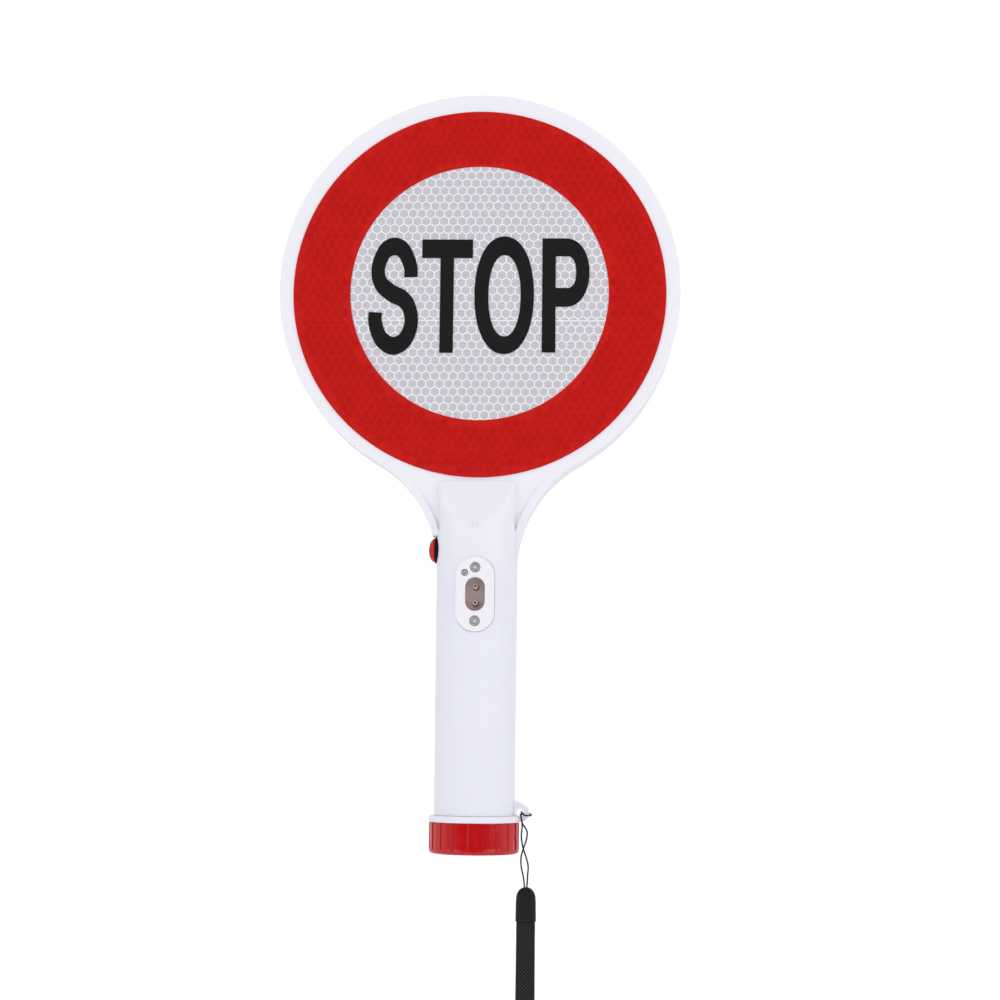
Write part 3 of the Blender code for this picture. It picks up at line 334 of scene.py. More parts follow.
def oval(centre, half_w, half_h, power, count, start=0.0, end=360.0):
    """An ellipse that grows squarer as the power rises from 2."""
    out = []
    for i in range(count + 1):
        angle = math.radians(start + (end - start) * i / count)
        c, s = math.cos(angle), math.sin(angle)
        x = math.copysign(abs(c) ** (2.0 / power), c) * half_w
        z = math.copysign(abs(s) ** (2.0 / power), s) * half_h
        out.append((centre[0] + x, centre[1] + z))
    return out


def stadium(width, height, count=24):
    straight = (height - width) / 2.0
    return (arc((0.0, straight), width / 2.0, 0.0, 180.0, count)
            + arc((0.0, -straight), width / 2.0, 180.0, 360.0, count))


def flat_curve(name, lines, closed, fill, thickness):
    """Lines in X and Y, extruded to a thickness about Z = 0."""
    data = bpy.data.curves.new(name, "CURVE")
    data.dimensions = "2D"
    data.fill_mode = fill
    data.extrude = thickness / 2.0
    for line in lines:
        spline = data.splines.new("POLY")
        spline.points.add(len(line) - 1)
        for target, point in zip(spline.points, line):
            target.co = (point[0], point[1], 0.0, 1.0)
        spline.use_cyclic_u = closed
    return add_object(name, data)


def slab(name, loops, front_y, back_y, place=(0.0, 0.0)):
    """A flat outline in X and Z, with holes, between two planes that face along Y."""
    made = flat_curve(name, loops, True, "BOTH", back_y - front_y)
    return tidy_mesh(placed(made, (place[0], (front_y + back_y) / 2.0, place[1]), TURN["Y"]))


def catmull(points, per_span):
    """A Catmull-Rom line through the points."""
    ends = [points[0]] + list(points) + [points[-1]]
    out = []
    for i in range(1, len(ends) - 2):
        before, start, end, after = (Vector(ends[i + k]) for k in (-1, 0, 1, 2))
        for k in range(per_span):
            t = k / per_span
            out.append(0.5 * (2.0 * start + (end - before) * t
                              + (2.0 * before - 5.0 * start + 4.0 * end - after) * t ** 2
                              + (3.0 * start - before - 3.0 * end + after) * t ** 3))
    out.append(Vector(ends[-2]))
    return out


def line_length(points):
    return sum((b - a).length for a, b in zip(points, points[1:]))


def even_points(points, spacing):
    total = line_length(points)
    count = max(2, round(total / spacing))
    out, k, walked = [], 0, 0.0
    for i in range(count + 1):
        goal = total * i / count
        while k < len(points) - 2 and walked + (points[k + 1] - points[k]).length < goal:
            walked += (points[k + 1] - points[k]).length
            k += 1
        step = (points[k + 1] - points[k]).length
        out.append(points[k].lerp(points[k + 1], min(1.0, (goal - walked) / step)))
    return out


def tangent_at(points, i):
    return (points[min(i + 1, len(points) - 1)] - points[max(i - 1, 0)]).normalized()


def frames_along(points):
    """Each point with two normals, turned as little as possible from one to the next."""
    out = []
    side = tangent_at(points, 0).orthogonal().normalized()
    for i, point in enumerate(points):
        tangent = tangent_at(points, i)
        side = (side - tangent * side.dot(tangent)).normalized()
        out.append((point, side, tangent.cross(side)))
    return out


def swept(name, points, outline_at, count):
    """A closed tube: outline_at(index, k) gives the offset along the two normals."""
    verts = []
    for i, (point, side, up) in enumerate(frames_along(points)):
        for k in range(count):
            a, b = outline_at(i, k)
            verts.append(point + side * a + up * b)
    return tube(name, verts, count, 1e-9)


def round_tube(name, points, radius, count=12):
    def ring(_, k):
        return polar(radius, 2.0 * math.pi * k / count)
    return smooth(swept(name, points, ring, count), 60.0)


# ---- materials
def linear(value):
    value /= 255.0
    return value / 12.92 if value <= 0.04045 else ((value + 0.055) / 1.055) ** 2.4


def colour(red, green, blue):
    return (linear(red), linear(green), linear(blue), 1.0)


def new_node(tree, kind, **values):
    """A shader node whose inputs are set, or fed from another node's output, by name."""
    made = tree.nodes.new("ShaderNode" + kind)
    for name, value in values.items():
        if name not in made.inputs:
            setattr(made, name, value)
        elif isinstance(value, bpy.types.NodeSocket):
            tree.links.new(value, made.inputs[name])
        else:
            made.inputs[name].default_value = value
    return made


class Look:
    """A Principled material with the few nodes that each finish here is made of."""

    def __init__(self, name, **sockets):
        self.material = bpy.data.materials.new(name)
        self.material.use_nodes = True
        self.tree = self.material.node_tree
        self.shader = self.tree.nodes["Principled BSDF"]
        for socket, value in sockets.items():
            self.shader.inputs[socket].default_value = value
        self.place = self.node("TexCoord").outputs["Object"]

    def node(self, kind, **values):
        return new_node(self.tree, kind, **values)

    def drive(self, socket, output):
        self.tree.links.new(output, self.shader.inputs[socket])

    def noise(self, scale, detail=2.0):
        return self.node("TexNoise", Scale=scale, Detail=detail, Vector=self.place).outputs["Fac"]

    def cells(self, scale):
        return self.node("TexVoronoi", Scale=scale, Vector=self.place).outputs["Distance"]

    def along(self, axis, low, high):
        """0 to 1 between two places on an axis."""
        split = self.node("SeparateXYZ", Vector=self.place)
        share = self.node("MapRange", Value=split.outputs[axis],
                          **{"From Min": low, "From Max": high})
        return share.outputs["Result"]

    def calculate(self, operation, *terms):
        made = self.node("Math", operation=operation)
        for term, socket in zip(terms, made.inputs):
            if isinstance(term, float):
                socket.default_value = term
            else:
                self.tree.links.new(term, socket)
        return made.outputs["Value"]

    def tint(self, factor, *stops):
        """The base colour as a ramp of (position, (red, green, blue))."""
        ramp = self.node("ValToRGB", Fac=factor)
        elements = ramp.color_ramp.elements
        for element, (position, shade) in zip(elements, (stops[0], stops[-1])):
            element.position = position
            element.color = colour(*shade)
        for position, shade in stops[1:-1]:
            elements.new(position).color = colour(*shade)
        self.drive("Base Color", ramp.outputs["Color"])

    def wear(self, factor, low, high):
        """Roughness that varies between two values."""
        spread = {"From Min": 0.3, "From Max": 0.7, "To Min": low, "To Max": high}
        self.drive("Roughness", self.node("MapRange", Value=factor, **spread).outputs["Result"])

    def bump(self, height, strength, distance):
        made = self.node("Bump", Strength=strength, Distance=distance, Height=height)
        self.drive("Normal", made.outputs["Normal"])


def noisy(name, base, shade, tint, wear, rough, bump, strength, grain, **sockets):
    """A look of three noises: tint, wear and bump are each (scale, detail)."""
    look = Look(name, **sockets)
    look.tint(look.noise(*tint), (0.35, base), (0.65, shade))
    look.wear(look.noise(*wear), *rough)
    look.bump(look.noise(*bump), strength, grain)
    return look.material


def translucent(amount):
    return {"Subsurface Weight": amount, "Subsurface Radius": (1.0, 0.9, 1.0),
            "Subsurface Scale": 0.0015}


def moulded(name, base, shade, roughness, spread=0.06, specular=0.5, grain=0.000012, **sockets):
    """Injection-moulded plastic: a soft flow tint, uneven gloss and a fine orange-peel skin."""
    return noisy(name, base, shade, (38.0, 3.0), (260.0, 3.0),
                 (roughness - spread, roughness + spread), (1500.0, 2.0), 0.35, grain,
                 **{"Specular IOR Level": specular}, **sockets)


def metal(name, base, shade, roughness, metallic=1.0):
    """Plated or bare metal with a fine, uneven polish."""
    return noisy(name, base, shade, (900.0, 4.0), (700.0, 4.0), (roughness - 0.1, roughness + 0.12),
                 (2500.0, 3.0), 0.3, 0.00001, Metallic=metallic)


def film(name, base, shade, roughness, specular):
    """Adhesive film: flat colour with a faint calendered texture."""
    return noisy(name, base, shade, (120.0, 4.0), (500.0, 3.0),
                 (roughness - 0.05, roughness + 0.07), (1800.0, 2.0), 0.25, 0.00001,
                 **{"Specular IOR Level": specular})


def prism_cells(name, base, shade, roughness, specular):
    """The prismatic cells of the sheeting: a fine grid of corner cubes seen as a soft mottle."""
    look = Look(name, **{"Specular IOR Level": specular, "Coat Weight": 0.12,
                         "Coat Roughness": 0.12})
    cubes = look.cells(3400.0)
    mottle = look.calculate("ADD", cubes, look.noise(420.0, 3.0))
    look.tint(mottle, (0.60, base), (1.0, shade))
    look.wear(look.noise(900.0, 2.0), roughness - 0.05, roughness + 0.1)
    look.bump(cubes, 0.3, 0.00003)
    return look.material


def board_look(name):
    """Solder-masked board: green with darker copper runs under it."""
    look = Look(name, **{"Specular IOR Level": 0.45})
    wave = look.node("TexWave", bands_direction="Z", Scale=140.0, Distortion=6.0, Vector=look.place)
    look.tint(wave.outputs["Fac"], (0.4, (30, 92, 50)), (0.6, (52, 125, 72)))
    look.wear(look.noise(600.0), 0.3, 0.5)
    look.bump(wave.outputs["Fac"], 0.3, 0.00003)
    return look.material


def white_body():
    """The body's plastic, with painted light: lighter and a trace warmer in the head than down the
    handle.
    """
    look = Look("white_plastic", **{"Specular IOR Level": 0.35}, **translucent(0.10))
    # painted light: the tint climbs with height, so the head is painted lighter than the handle;
    # the noise in it is the plastic's own flow tint
    flow = look.calculate("MULTIPLY_ADD", look.noise(38.0, 3.0), 0.3, look.along("Z", 0.06, 0.13))
    look.tint(flow, (0.15, (234, 235, 243)), (1.0, (241, 239, 244)))
    look.wear(look.noise(260.0, 3.0), 0.30, 0.40)
    look.bump(look.noise(1500.0, 2.0), 0.35, 0.000012)
    return look.material


def button_dome():
    """Red plastic with painted shade: near black at the tip of the dome and darker again beside the
    bezel.
    """
    look = Look("button_plastic", **{"Specular IOR Level": 0.12})
    # painted shade: the ramp along X darkens the dome towards its tip and again where it meets the
    # bezel
    look.tint(look.along("X", BUTTON_LOW.x, BEZEL_LOW.x), (0.0, (20, 5, 6)), (0.14, (70, 12, 14)),
              (0.42, (204, 38, 32)), (0.72, (214, 40, 32)), (1.0, (96, 12, 14)))
    look.wear(look.noise(260.0, 3.0), 0.16, 0.26)
    look.bump(look.noise(1500.0, 2.0), 0.3, 0.00001)
    return look.material


def yarn(name, sheen):
    """Matt fibres: a faint sheen, a dull uneven gloss and a fine bump. The caller adds the tint."""
    look = Look(name, **{"Sheen Weight": sheen, "Sheen Roughness": 0.5, "Specular IOR Level": 0.25})
    look.wear(look.noise(1900.0, 2.0), 0.72, 0.9)
    look.bump(look.noise(5200.0, 3.0), 0.6, 0.00004)
    return look


def braided(name, base, shade):
    look = yarn(name, 0.35)
    look.tint(look.noise(2600.0, 3.0), (0.35, base), (0.65, shade))
    return look.material


def woven(name, base, shade):
    """Webbing yarn with painted sheen: small light floats where two diagonal runs cross."""
    look = yarn(name, 0.3)
    runs = []
    for lean in (1.0, -1.0):
        slanted = look.node("Mapping", Scale=(lean, 0.0, 1.0), Vector=look.place)
        wave = look.node("TexWave", bands_direction="DIAGONAL", Scale=420.0,
                         Vector=slanted.outputs["Vector"])
        runs.append(wave.outputs["Fac"])
    # painted sheen: the crossings of the two runs are tinted lighter, for the light that the floats
    # catch
    look.tint(look.calculate("MULTIPLY", *runs), (0.25, base), (0.85, shade))
    return look.material


LOOKS = {
    "white": white_body(),
    "plate": moulded("plate_plastic", (243, 239, 243), (240, 237, 241), 0.30, specular=0.4,
                     **translucent(0.06)),
    "red_plastic": moulded("cap_plastic", (189, 3, 7), (184, 4, 9), 0.13, 0.03),
    "button": button_dome(),
    "black": moulded("black_plastic", (20, 20, 20), (26, 26, 26), 0.45, specular=0.25,
                     grain=0.00003),
    "bezel": moulded("bezel_plastic", (9, 9, 10), (13, 13, 14), 0.35, specular=0.12),
    "socket": moulded("socket_plastic", (240, 226, 220), (233, 218, 213), 0.5, specular=0.3),
    "rubber": moulded("seal_rubber", (26, 26, 26), (34, 34, 34), 0.7, specular=0.2),
    "sheeting_line": film("sheeting_line", (245, 243, 247), (240, 238, 243), 0.4, 0.3),
    "sheeting_cell": prism_cells("sheeting_cell", (188, 186, 191), (202, 199, 204), 0.35, 0.25),
    "red_film": film("red_film", (197, 30, 25), (193, 28, 23), 0.42, 0.06),
    "red_cell": film("red_film_cell", (190, 22, 18), (182, 19, 15), 0.36, 0.08),
    "black_film": film("black_film", (27, 27, 27), (30, 30, 30), 0.5, 0.10),
    "steel": metal("plated_steel", (214, 215, 211), (186, 187, 183), 0.32, 0.8),
    "pin": metal("pin_metal", (214, 197, 190), (196, 178, 171), 0.32, 0.25),
    # painted highlight: a lighter, less metallic copy of the steel for the bright centres of the
    # screw heads
    "drive": metal("steel_painted_highlight", (236, 238, 230), (214, 216, 208), 0.3, 0.25),
    # painted shade: near black for the plugs that stand in for the darkness inside the hollow pins
    "bore": moulded("pin_bore_painted_shade", (4, 4, 4), (8, 8, 8), 0.6, specular=0.1),
    "brass": metal("contact_brass", (212, 178, 104), (188, 150, 82), 0.3),
    "board": board_look("circuit_board"),
    "cell": film("cell_wrap", (52, 88, 168), (44, 76, 150), 0.3, 0.45),
    "lens": moulded("led_lens", (226, 224, 205), (214, 210, 190), 0.12, 0.04, 0.55),
    "lamp": moulded("lamp_lens", (244, 234, 230), (226, 214, 210), 0.16, 0.05, 0.55),
    "dark": moulded("lamp_wire", (70, 58, 56), (88, 74, 70), 0.4),
    "cord": braided("cord_fibre", (12, 12, 12), (20, 20, 19)),
    # painted sheen: the second, lighter colour is the light on the webbing's floats
    "webbing": woven("webbing_fibre", (14, 14, 13), (64, 61, 58)),
    "wire_red": moulded("wire_red", (186, 36, 32), (170, 30, 28), 0.4),
    "wire_black": moulded("wire_black", (28, 28, 28), (36, 36, 36), 0.4),
    "amber": moulded("capacitor_case", (196, 122, 50), (180, 106, 42), 0.35),
}


def dress(made, look):
    made.data.materials.clear()
    made.data.materials.append(LOOKS[look])
    return made


def finish_piece(made, look, body, slot_name, *nodes):
    """Material, body and the CAD nodes that the piece stands for. The slot name is not used."""
    dress(made, look)
    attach(made, body)
    if nodes:
        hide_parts(*nodes)
    return made


# ---- camera
AIM = Vector((0.01015, 0.0, 0.101))
CAMERA_DISTANCE = 0.896
CAMERA_UP = math.radians(-7.0)
CAMERA_ROUND = math.radians(2.0)
CAMERA_ROLL = math.radians(0.6)
LENS_MM, SENSOR_MM = 70.2, 36.0


def make_camera():
    data = bpy.data.cameras.new("camera")
    data.lens = LENS_MM
    data.sensor_width = SENSOR_MM
    made = add_object("camera", data)
    towards = Vector((math.sin(CAMERA_ROUND) * math.cos(CAMERA_UP),
                      -math.cos(CAMERA_ROUND) * math.cos(CAMERA_UP), math.sin(CAMERA_UP)))
    turn = (-towards).to_track_quat("-Z", "Y").to_matrix().to_4x4()
    place = Matrix.Translation(AIM + towards * CAMERA_DISTANCE)
    made.matrix_world = place @ turn @ Matrix.Rotation(CAMERA_ROLL, 4, "Z")
    SCENE.camera = made


make_camera()

# ---- wrist strap
CORD_ROUTE = [
    (0.0230, 0.0000, CONNECTOR_TOP_Z - CORD_SINK),
    (0.0225, 0.0000, -0.0700), (0.0213, -0.0002, -0.0640),
    (0.0214, -0.0005, -0.0602), (0.0222, -0.0007, -0.0571), (0.0236, -0.0010, -0.0530),
    (0.0240, -0.0018, -0.0496), (0.0231, -0.0026, -0.0474), (0.0219, -0.0031, -0.0456),
    (0.0215, -0.0032, -0.0440), (0.0211, -0.0031, -0.0425), (0.0208, -0.0014, -0.0419),
    (0.0207, 0.0014, -0.0418), (0.0209, 0.0029, -0.0420), (0.0224, 0.0034, -0.0413),
    (0.0243, 0.0032, -0.0413), (0.0256, 0.0020, -0.0416), (0.0257, 0.0000, -0.0418),
    (0.0255, -0.0018, -0.0420), (0.0243, -0.0032, -0.0420), (0.0228, -0.0031, -0.0419),
    (0.0219, -0.0024, -0.0414), (0.0217, -0.0008, -0.0411), (0.0216, 0.0010, -0.0409),
    (0.0214, 0.0030, -0.0405), (0.0210, 0.0043, -0.0420), (0.0214, 0.0040, -0.0446),
    (0.0216, 0.0028, -0.0474), (0.0213, 0.0014, -0.0512), (0.0217, 0.0009, -0.0545),
    (0.0223, 0.0007, -0.0571), (0.0235, 0.0005, -0.0605), (0.0245, 0.0002, -0.0645),
    (0.0243, 0.0000, -0.0690), (0.0240, 0.0000, CONNECTOR_TOP_Z - CORD_SINK),
]


def webbing_route():
    """The hanging loop, opening front to back: two runs that part and meet in a round bight."""
    top = CONNECTOR_END_Z - CORD_GAP
    start_y = 0.0010
    half = [(start_y, top), (start_y + 0.0004, top - 0.0120), (0.0062, top - 0.0330),
            (0.0150, top - 0.0590), (0.0228, top - 0.0850),
            (WEBBING_SPREAD, WEBBING_END_Z + 0.0220), (0.0222, WEBBING_END_Z + 0.0090),
            (0.0115, WEBBING_END_Z + 0.0018)]
    loop = half + [(0.0, WEBBING_END_Z)] + [(-y, z) for y, z in reversed(half)]
    return [(CONNECTOR_X, y, z) for y, z in loop]


def make_connector():
    """A soft sleeve: domed at the cord's end, slightly flared where the webbing enters."""
    height = CONNECTOR_TOP_Z - CONNECTOR_END_Z
    half_w, half_d, domed = 0.0046, 0.0025, 0.0052
    corner_power = 2.0 / 0.62
    rows, count = [], 40
    for step in range(9):
        angle = math.radians(90.0 * step / 8)
        scale = max(0.16, math.sin(angle) ** 0.9)
        rows.append((-domed * (1.0 - math.cos(angle)), half_w * 0.96 * scale,
                     half_d * max(0.34, math.sin(angle) ** 0.8)))
    for share in (0.45, 0.6, 0.75, 0.9, 0.985):
        rows.append((-height * share, half_w * (0.96 + 0.04 * share), half_d))
    rows.append((-height, half_w * 0.985, half_d * 0.94))
    rows.append((-height + 0.0002, half_w * 0.92, half_d * 0.72))
    rows.append((-height + 0.0020, half_w * 0.90, half_d * 0.66))
    points = []
    for z, wide, deep in rows:
        outline = oval((CONNECTOR_X, 0.0), wide, deep, corner_power, count)[:-1]
        points += [(x, y, CONNECTOR_TOP_Z + z) for x, y in outline]
    made = tube("connector_sleeve", points, count)
    return finish_piece(smooth(made, 50.0), "black", "strap", "black_plastic", "strap_connector")


def make_cord():
    """A fine braided cord: a round line with a shallow plait."""
    points = even_points(catmull(CORD_ROUTE, 12), 0.00022)
    sides = 12

    def plait(index, k):
        angle = 2.0 * math.pi * k / sides
        wave = math.cos(2.0 * (angle - index * 0.42)) * math.cos(2.0 * (angle + index * 0.42))
        return polar(CORD_R * (0.97 + 0.05 * wave), angle)

    made = smooth(swept("strap_thin_cord", points, plait, sides), 60.0)
    finish_piece(made, "cord", "strap", "strap_fabric", "strap_cord")
    return made, points


def make_webbing():
    """Flat woven webbing: a herringbone of raised floats on both faces and a rolled edge."""
    points = even_points(catmull(webbing_route(), 16), 0.00055)
    across = 26
    half_w, half_t = WEBBING_W / 2.0, WEBBING_THICK / 2.0
    relief, rib, float_length = 0.00020, 0.00105, 0.00150
    flat, rolled = 0.93, 0.55        # the share of its width that is flat, and the edges' thinning

    def weave(along, offset):
        lane = offset / rib
        turns = along / float_length + abs((lane / 2.0) % 2.0 - 1.0)
        return relief * math.cos(2.0 * math.pi * turns) * math.cos(math.pi * lane)

    verts, walked = [], 0.0
    for i, point in enumerate(points):
        if i:
            walked += (point - points[i - 1]).length
        out = Vector((1.0, 0.0, 0.0)).cross(tangent_at(points, i)).normalized()
        for k in range(2 * across):
            face = 1.0 if k < across else -1.0
            share = (k % across) / (across - 1)
            offset = (share - 0.5) * 2.0 * half_w * face
            edge = 1.0 - max(0.0, abs(offset) / half_w - flat) / (1.0 - flat) * rolled
            lift = (half_t - relief) * edge + weave(walked, offset) * edge
            verts.append(point + Vector((offset, 0.0, 0.0)) + out * lift * face)
    made = smooth(tube("strap_woven_webbing", verts, 2 * across, 1e-9), 70.0)
    finish_piece(made, "webbing", "strap", "strap_fabric", "strap_webbing")
    return made, points


connector = make_connector()
thin_cord, cord_line = make_cord()
webbing, webbing_line = make_webbing()


# ---- the two shells
def flare_side(inset=0.0, count=48):
    """The concave arc from the grip up to the head's disc, on the right."""
    rise = HEAD_Z - FLARE_LOW_Z
    centre_x = math.sqrt((HEAD_R + FLARE_R) ** 2 - rise ** 2)
    tangent = math.degrees(math.atan2(rise, -centre_x))
    return arc((centre_x, FLARE_LOW_Z), FLARE_R + inset, 180.0, tangent, count)


def mirrored(points):
    return [(-x, z) for x, z in reversed(points)]


def between(points, low, high):
    """The stretch of a rising line from one level to another, cut to end on both."""
    out = []
    for (x0, z0), (x1, z1) in zip(points, points[1:]):
        for level in (low, high):
            if z0 < level <= z1:
                out.append((x0 + (x1 - x0) * (level - z0) / (z1 - z0), level))
        if low < z1 < high:
            out.append((x1, z1))
    return sorted(out, key=lambda point: point[1])


def body_outline():
    """The disc and the flared neck in one line. The left flare ends above the switch."""
    right = flare_side()
    touch = math.degrees(math.atan2(right[-1][1] - HEAD_Z, right[-1][0]))
    disc = arc((0.0, HEAD_Z), HEAD_R, touch, 180.0 - touch, 240)
    switch_top = SWITCH_Z + SWITCH_HOLE_R
    left = between(right, switch_top, right[-1][1])
    spaced = [left[0]] + [point for point in left[1:] if point[1] > switch_top + 0.0008]
    return [FLARE_INSIDE] + right + disc[1:-1] + mirrored(spaced) + [(-FLARE_INSIDE[0], switch_top)]


def flare_profile(depth, steps=16):
    """Half the flare's thickness against height, thinning in a curve towards the grip."""
    out = []
    for i in range(steps + 1):
        share = i / steps
        z = FLARE_FULL_Z + (FLARE_THIN_Z - FLARE_FULL_Z) * share
        y = HEAD_HALF + (FLARE_THIN_HALF - HEAD_HALF) * share ** 1.4
        out.append((y - depth * min(1.0, 1.6 * share), z))
    return out


def space_before(name, depth):
    """All that stands in front of the flare's face, sunk to a depth: a prism along X."""
    below, before, reach = 0.045, 0.020, 0.060      # past the flare on every side
    profile = flare_profile(depth)
    profile += [(profile[-1][0], below), (before, below), (before, FLARE_FULL_Z)]
    points = [(x, -y, z) for x in (-reach, reach) for y, z in profile]
    return tube(name, points, len(profile))


def neck_hollow():
    """The space inside the flare, a wall's thickness under its faces."""
    right = between(flare_side(BEAD_WIDTH + WEB_WALL, 12), NECK_HOLLOW_LOW_Z, NECK_HOLLOW_TOP_Z)
    loop = right + mirrored(right)
    rise = NECK_HOLLOW_TOP_Z - NECK_HOLLOW_LOW_Z
    growth = (HEAD_HALF - HEAD_WALL - NECK_HOLLOW_HALF) / rise
    points = [(x, side * (NECK_HOLLOW_HALF + growth * (z - NECK_HOLLOW_LOW_Z)), z)
              for side in (-1.0, 1.0) for x, z in loop]
    return tube("neck", points, len(loop))


def make_grip(sides=192, steps=44):
    """The round handle: squarer over the neck and planed to a soft-edged ramp on both faces."""
    slope = (GRIP_TOP_R - RAMP_TOP_Y) / (GRIP_TOP_Z - RAMP_LOW_Z)
    soft = 0.0034
    low = RAMP_LOW_Z - 0.0040
    heights = [GRIP_TOP_Z - (GRIP_TOP_Z - low) * i / steps for i in range(steps + 1)] + [GRIP_END_Z]
    points = []
    for height in heights:
        share = max(0.0, (height - NECK_LOW_Z) / (GRIP_TOP_Z - NECK_LOW_Z))
        power = 2.0 + (NECK_POWER - 2.0) * share ** 1.5
        radius = GRIP_END_R if height == GRIP_END_Z else GRIP_TOP_R
        limit = GRIP_TOP_R - slope * (height - RAMP_LOW_Z)
        for x, y in oval((0.0, 0.0), radius, radius, power, sides)[:-1]:
            blend = max(soft - abs(abs(y) - limit), 0.0) / soft
            planed = min(abs(y), limit) - blend * blend * soft / 4.0
            points.append((x, math.copysign(planed, y), height))
    return tube("grip", points, sides)


def moulded_half():
    """The front half of the body, hollow and open at the parting plane."""
    shell = slab("half", [body_outline()], -HEAD_HALF, HEAD_HALF)
    shell = bevelled(combined(shell, [space_before("thinning", 0.0)], "DIFFERENCE"), HEAD_EDGE, 5)
    right = between(flare_side(BEAD_WIDTH), FLARE_LOW_Z, FLARE_FULL_Z - 0.0010)
    right = [FLARE_INSIDE] + right
    pocket = slab("web_pocket", [right + mirrored(right)], -0.016, 0.0)
    pocket = combined(pocket, [space_before("web_space", WEB_DEPTH)], "INTERSECT")
    shell = combined(shell, [pocket], "DIFFERENCE")
    shell = combined(shell, [make_grip()], "UNION")

    inner = HEAD_HALF - HEAD_WALL
    hollow = rod("hollow", HEAD_R - HEAD_WALL, (0.0, 0.0, HEAD_Z), 2.0 * inner, "Y", 96)
    top, foot = 0.104, GRIP_END_Z - 0.004
    bore = lathe("bore", [(0.0, top), (0.0085, top), (0.0150, 0.082), (GRIP_BORE_R, 0.070),
                          (GRIP_BORE_R, foot), (0.0, foot)], 64)
    hole = rod("switch_hole", SWITCH_HOLE_R, (-0.0215, 0.0, SWITCH_Z), 0.0190, "X", 64)
    far, above = 0.12, 0.32
    rear_space = box("rear_space", (-far, -PARTING, -far), (far, far, above))
    return combined(shell, [hollow, neck_hollow(), bore, hole, rear_space], "DIFFERENCE")


def reflected(made, name):
    """The same half turned over to the other face."""
    other = add_object(name, made.data.copy())
    other.data.transform(Matrix.Scale(-1.0, 4, (0.0, 1.0, 0.0)))
    other.data.flip_normals()
    return other


def make_shells():
    """Both halves. The front one also gets the inlet's pad, its plate's seat and its well."""
    front = moulded_half()
    rear = reflected(front, "rear_half")
    pad_half_w, pad_half_h, pad_y, pad_back_y = 0.0075, 0.0165, -0.0166, -0.0125
    fit, seat_y = 0.0003, -0.0158
    well_w, well_h, well_y = 0.0113, 0.0176, -0.0080
    pad = box("pad", (-pad_half_w, pad_y, INLET_Z - pad_half_h),
              (pad_half_w, pad_back_y, INLET_Z + pad_half_h))
    seat = slab("seat", [stadium(PLATE_W + fit, PLATE_H + fit)], -0.0250, seat_y, (0.0, INLET_Z))
    well = slab("well", [stadium(well_w, well_h)], -0.0200, well_y, (0.0, INLET_Z))
    front = combined(combined(front, [pad], "UNION"), [seat, well], "DIFFERENCE")
    front.name = "front_half"
    for made, node in ((front, "front_shell"), (rear, "rear_shell")):
        finish_piece(even_shading(made, 32.0), "white", "root", "white_plastic", node)


def make_gate_mark():
    """The small witness of the mould's gate, low on the front ramp."""
    proud, sunk = 0.00008, -0.0006
    mark = lathe("gate_mark", [(0.0, proud), (0.0006, proud), (0.0009, 0.0), (0.0009, sunk),
                               (0.0, sunk)], 32, place=(-0.0004, -GRIP_TOP_R, 0.0885),
                 turn=(math.radians(72.0), 0.0, 0.0))
    finish_piece(smooth(mark), "white", "root", "white_plastic")


make_shells()


# ---- sheeting, band and letters
def clip(polygon, keep_above, level):
    """The part of a convex polygon above a level, or below it where keep_above is -1."""
    out = []
    for (x0, z0), (x1, z1) in zip(polygon, polygon[1:] + polygon[:1]):
        inside0 = (z0 - level) * keep_above >= 0.0
        inside1 = (z1 - level) * keep_above >= 0.0
        if inside0:
            out.append((x0, z0))
        if inside0 != inside1:
            t = (level - z0) / (z1 - z0)
            out.append((x0 + (x1 - x0) * t, level))
    return out


def honeycomb(start, keep_above):
    """Cell outlines over the whole disc on one side of the weld, from one cell's centre."""
    reach = SHEET_R + HEX_PITCH
    rows = int(2.0 * reach / HEX_ROW) + 2
    columns = int(2.0 * reach / HEX_PITCH) + 2
    half = (HEX_PITCH - SEAM_WIDTH) / 2.0
    tall = half / math.cos(math.radians(30.0)) * HEX_ROW / (HEX_PITCH * 0.866)
    out = []
    for row in range(-rows, rows):
        for column in range(-columns, columns):
            x = start[0] + (column + (row % 2) / 2.0) * HEX_PITCH
            z = start[1] + row * HEX_ROW
            if math.hypot(x, z - SHEET_Z) > reach:
                continue
            cell = [(x + half * a, z + tall * b)
                    for a, b in ((0, 1), (-1, 0.5), (-1, -0.5), (0, -1), (1, -0.5), (1, 0.5))]
            cell = clip(cell, keep_above, WELD_Z + keep_above * SEAM_WIDTH / 2.0)
            if len(cell) >= 3:
                out.append((x, z, cell))
    return out


def cell_prisms(name, cells, base_y, rise, slope=0.00010, sink=0.00004):
    """Low flat-topped prisms, one for each cell, standing out from base_y towards -Y."""
    points, faces = [], []
    for _, _, cell in cells:
        first, n = len(points), len(cell)
        middle_x = sum(p[0] for p in cell) / n
        middle_z = sum(p[1] for p in cell) / n
        for share, y in ((0.0, base_y + sink), (0.0, base_y), (slope, base_y - rise)):
            for px, pz in cell:
                toward = Vector((middle_x - px, middle_z - pz))
                toward = toward * (share / max(toward.length, 1e-9))
                points.append((px + toward.x, y, pz + toward.y))
        for row in (first, first + n):
            for k in range(n):
                after = (k + 1) % n
                faces.append((row + k, row + n + k, row + n + after, row + after))
        faces.append(tuple(range(first, first + n)))
        faces.append(tuple(reversed(range(first + 2 * n, first + 3 * n))))
    return tidy_mesh(mesh_object(name, points, faces), 1e-9)


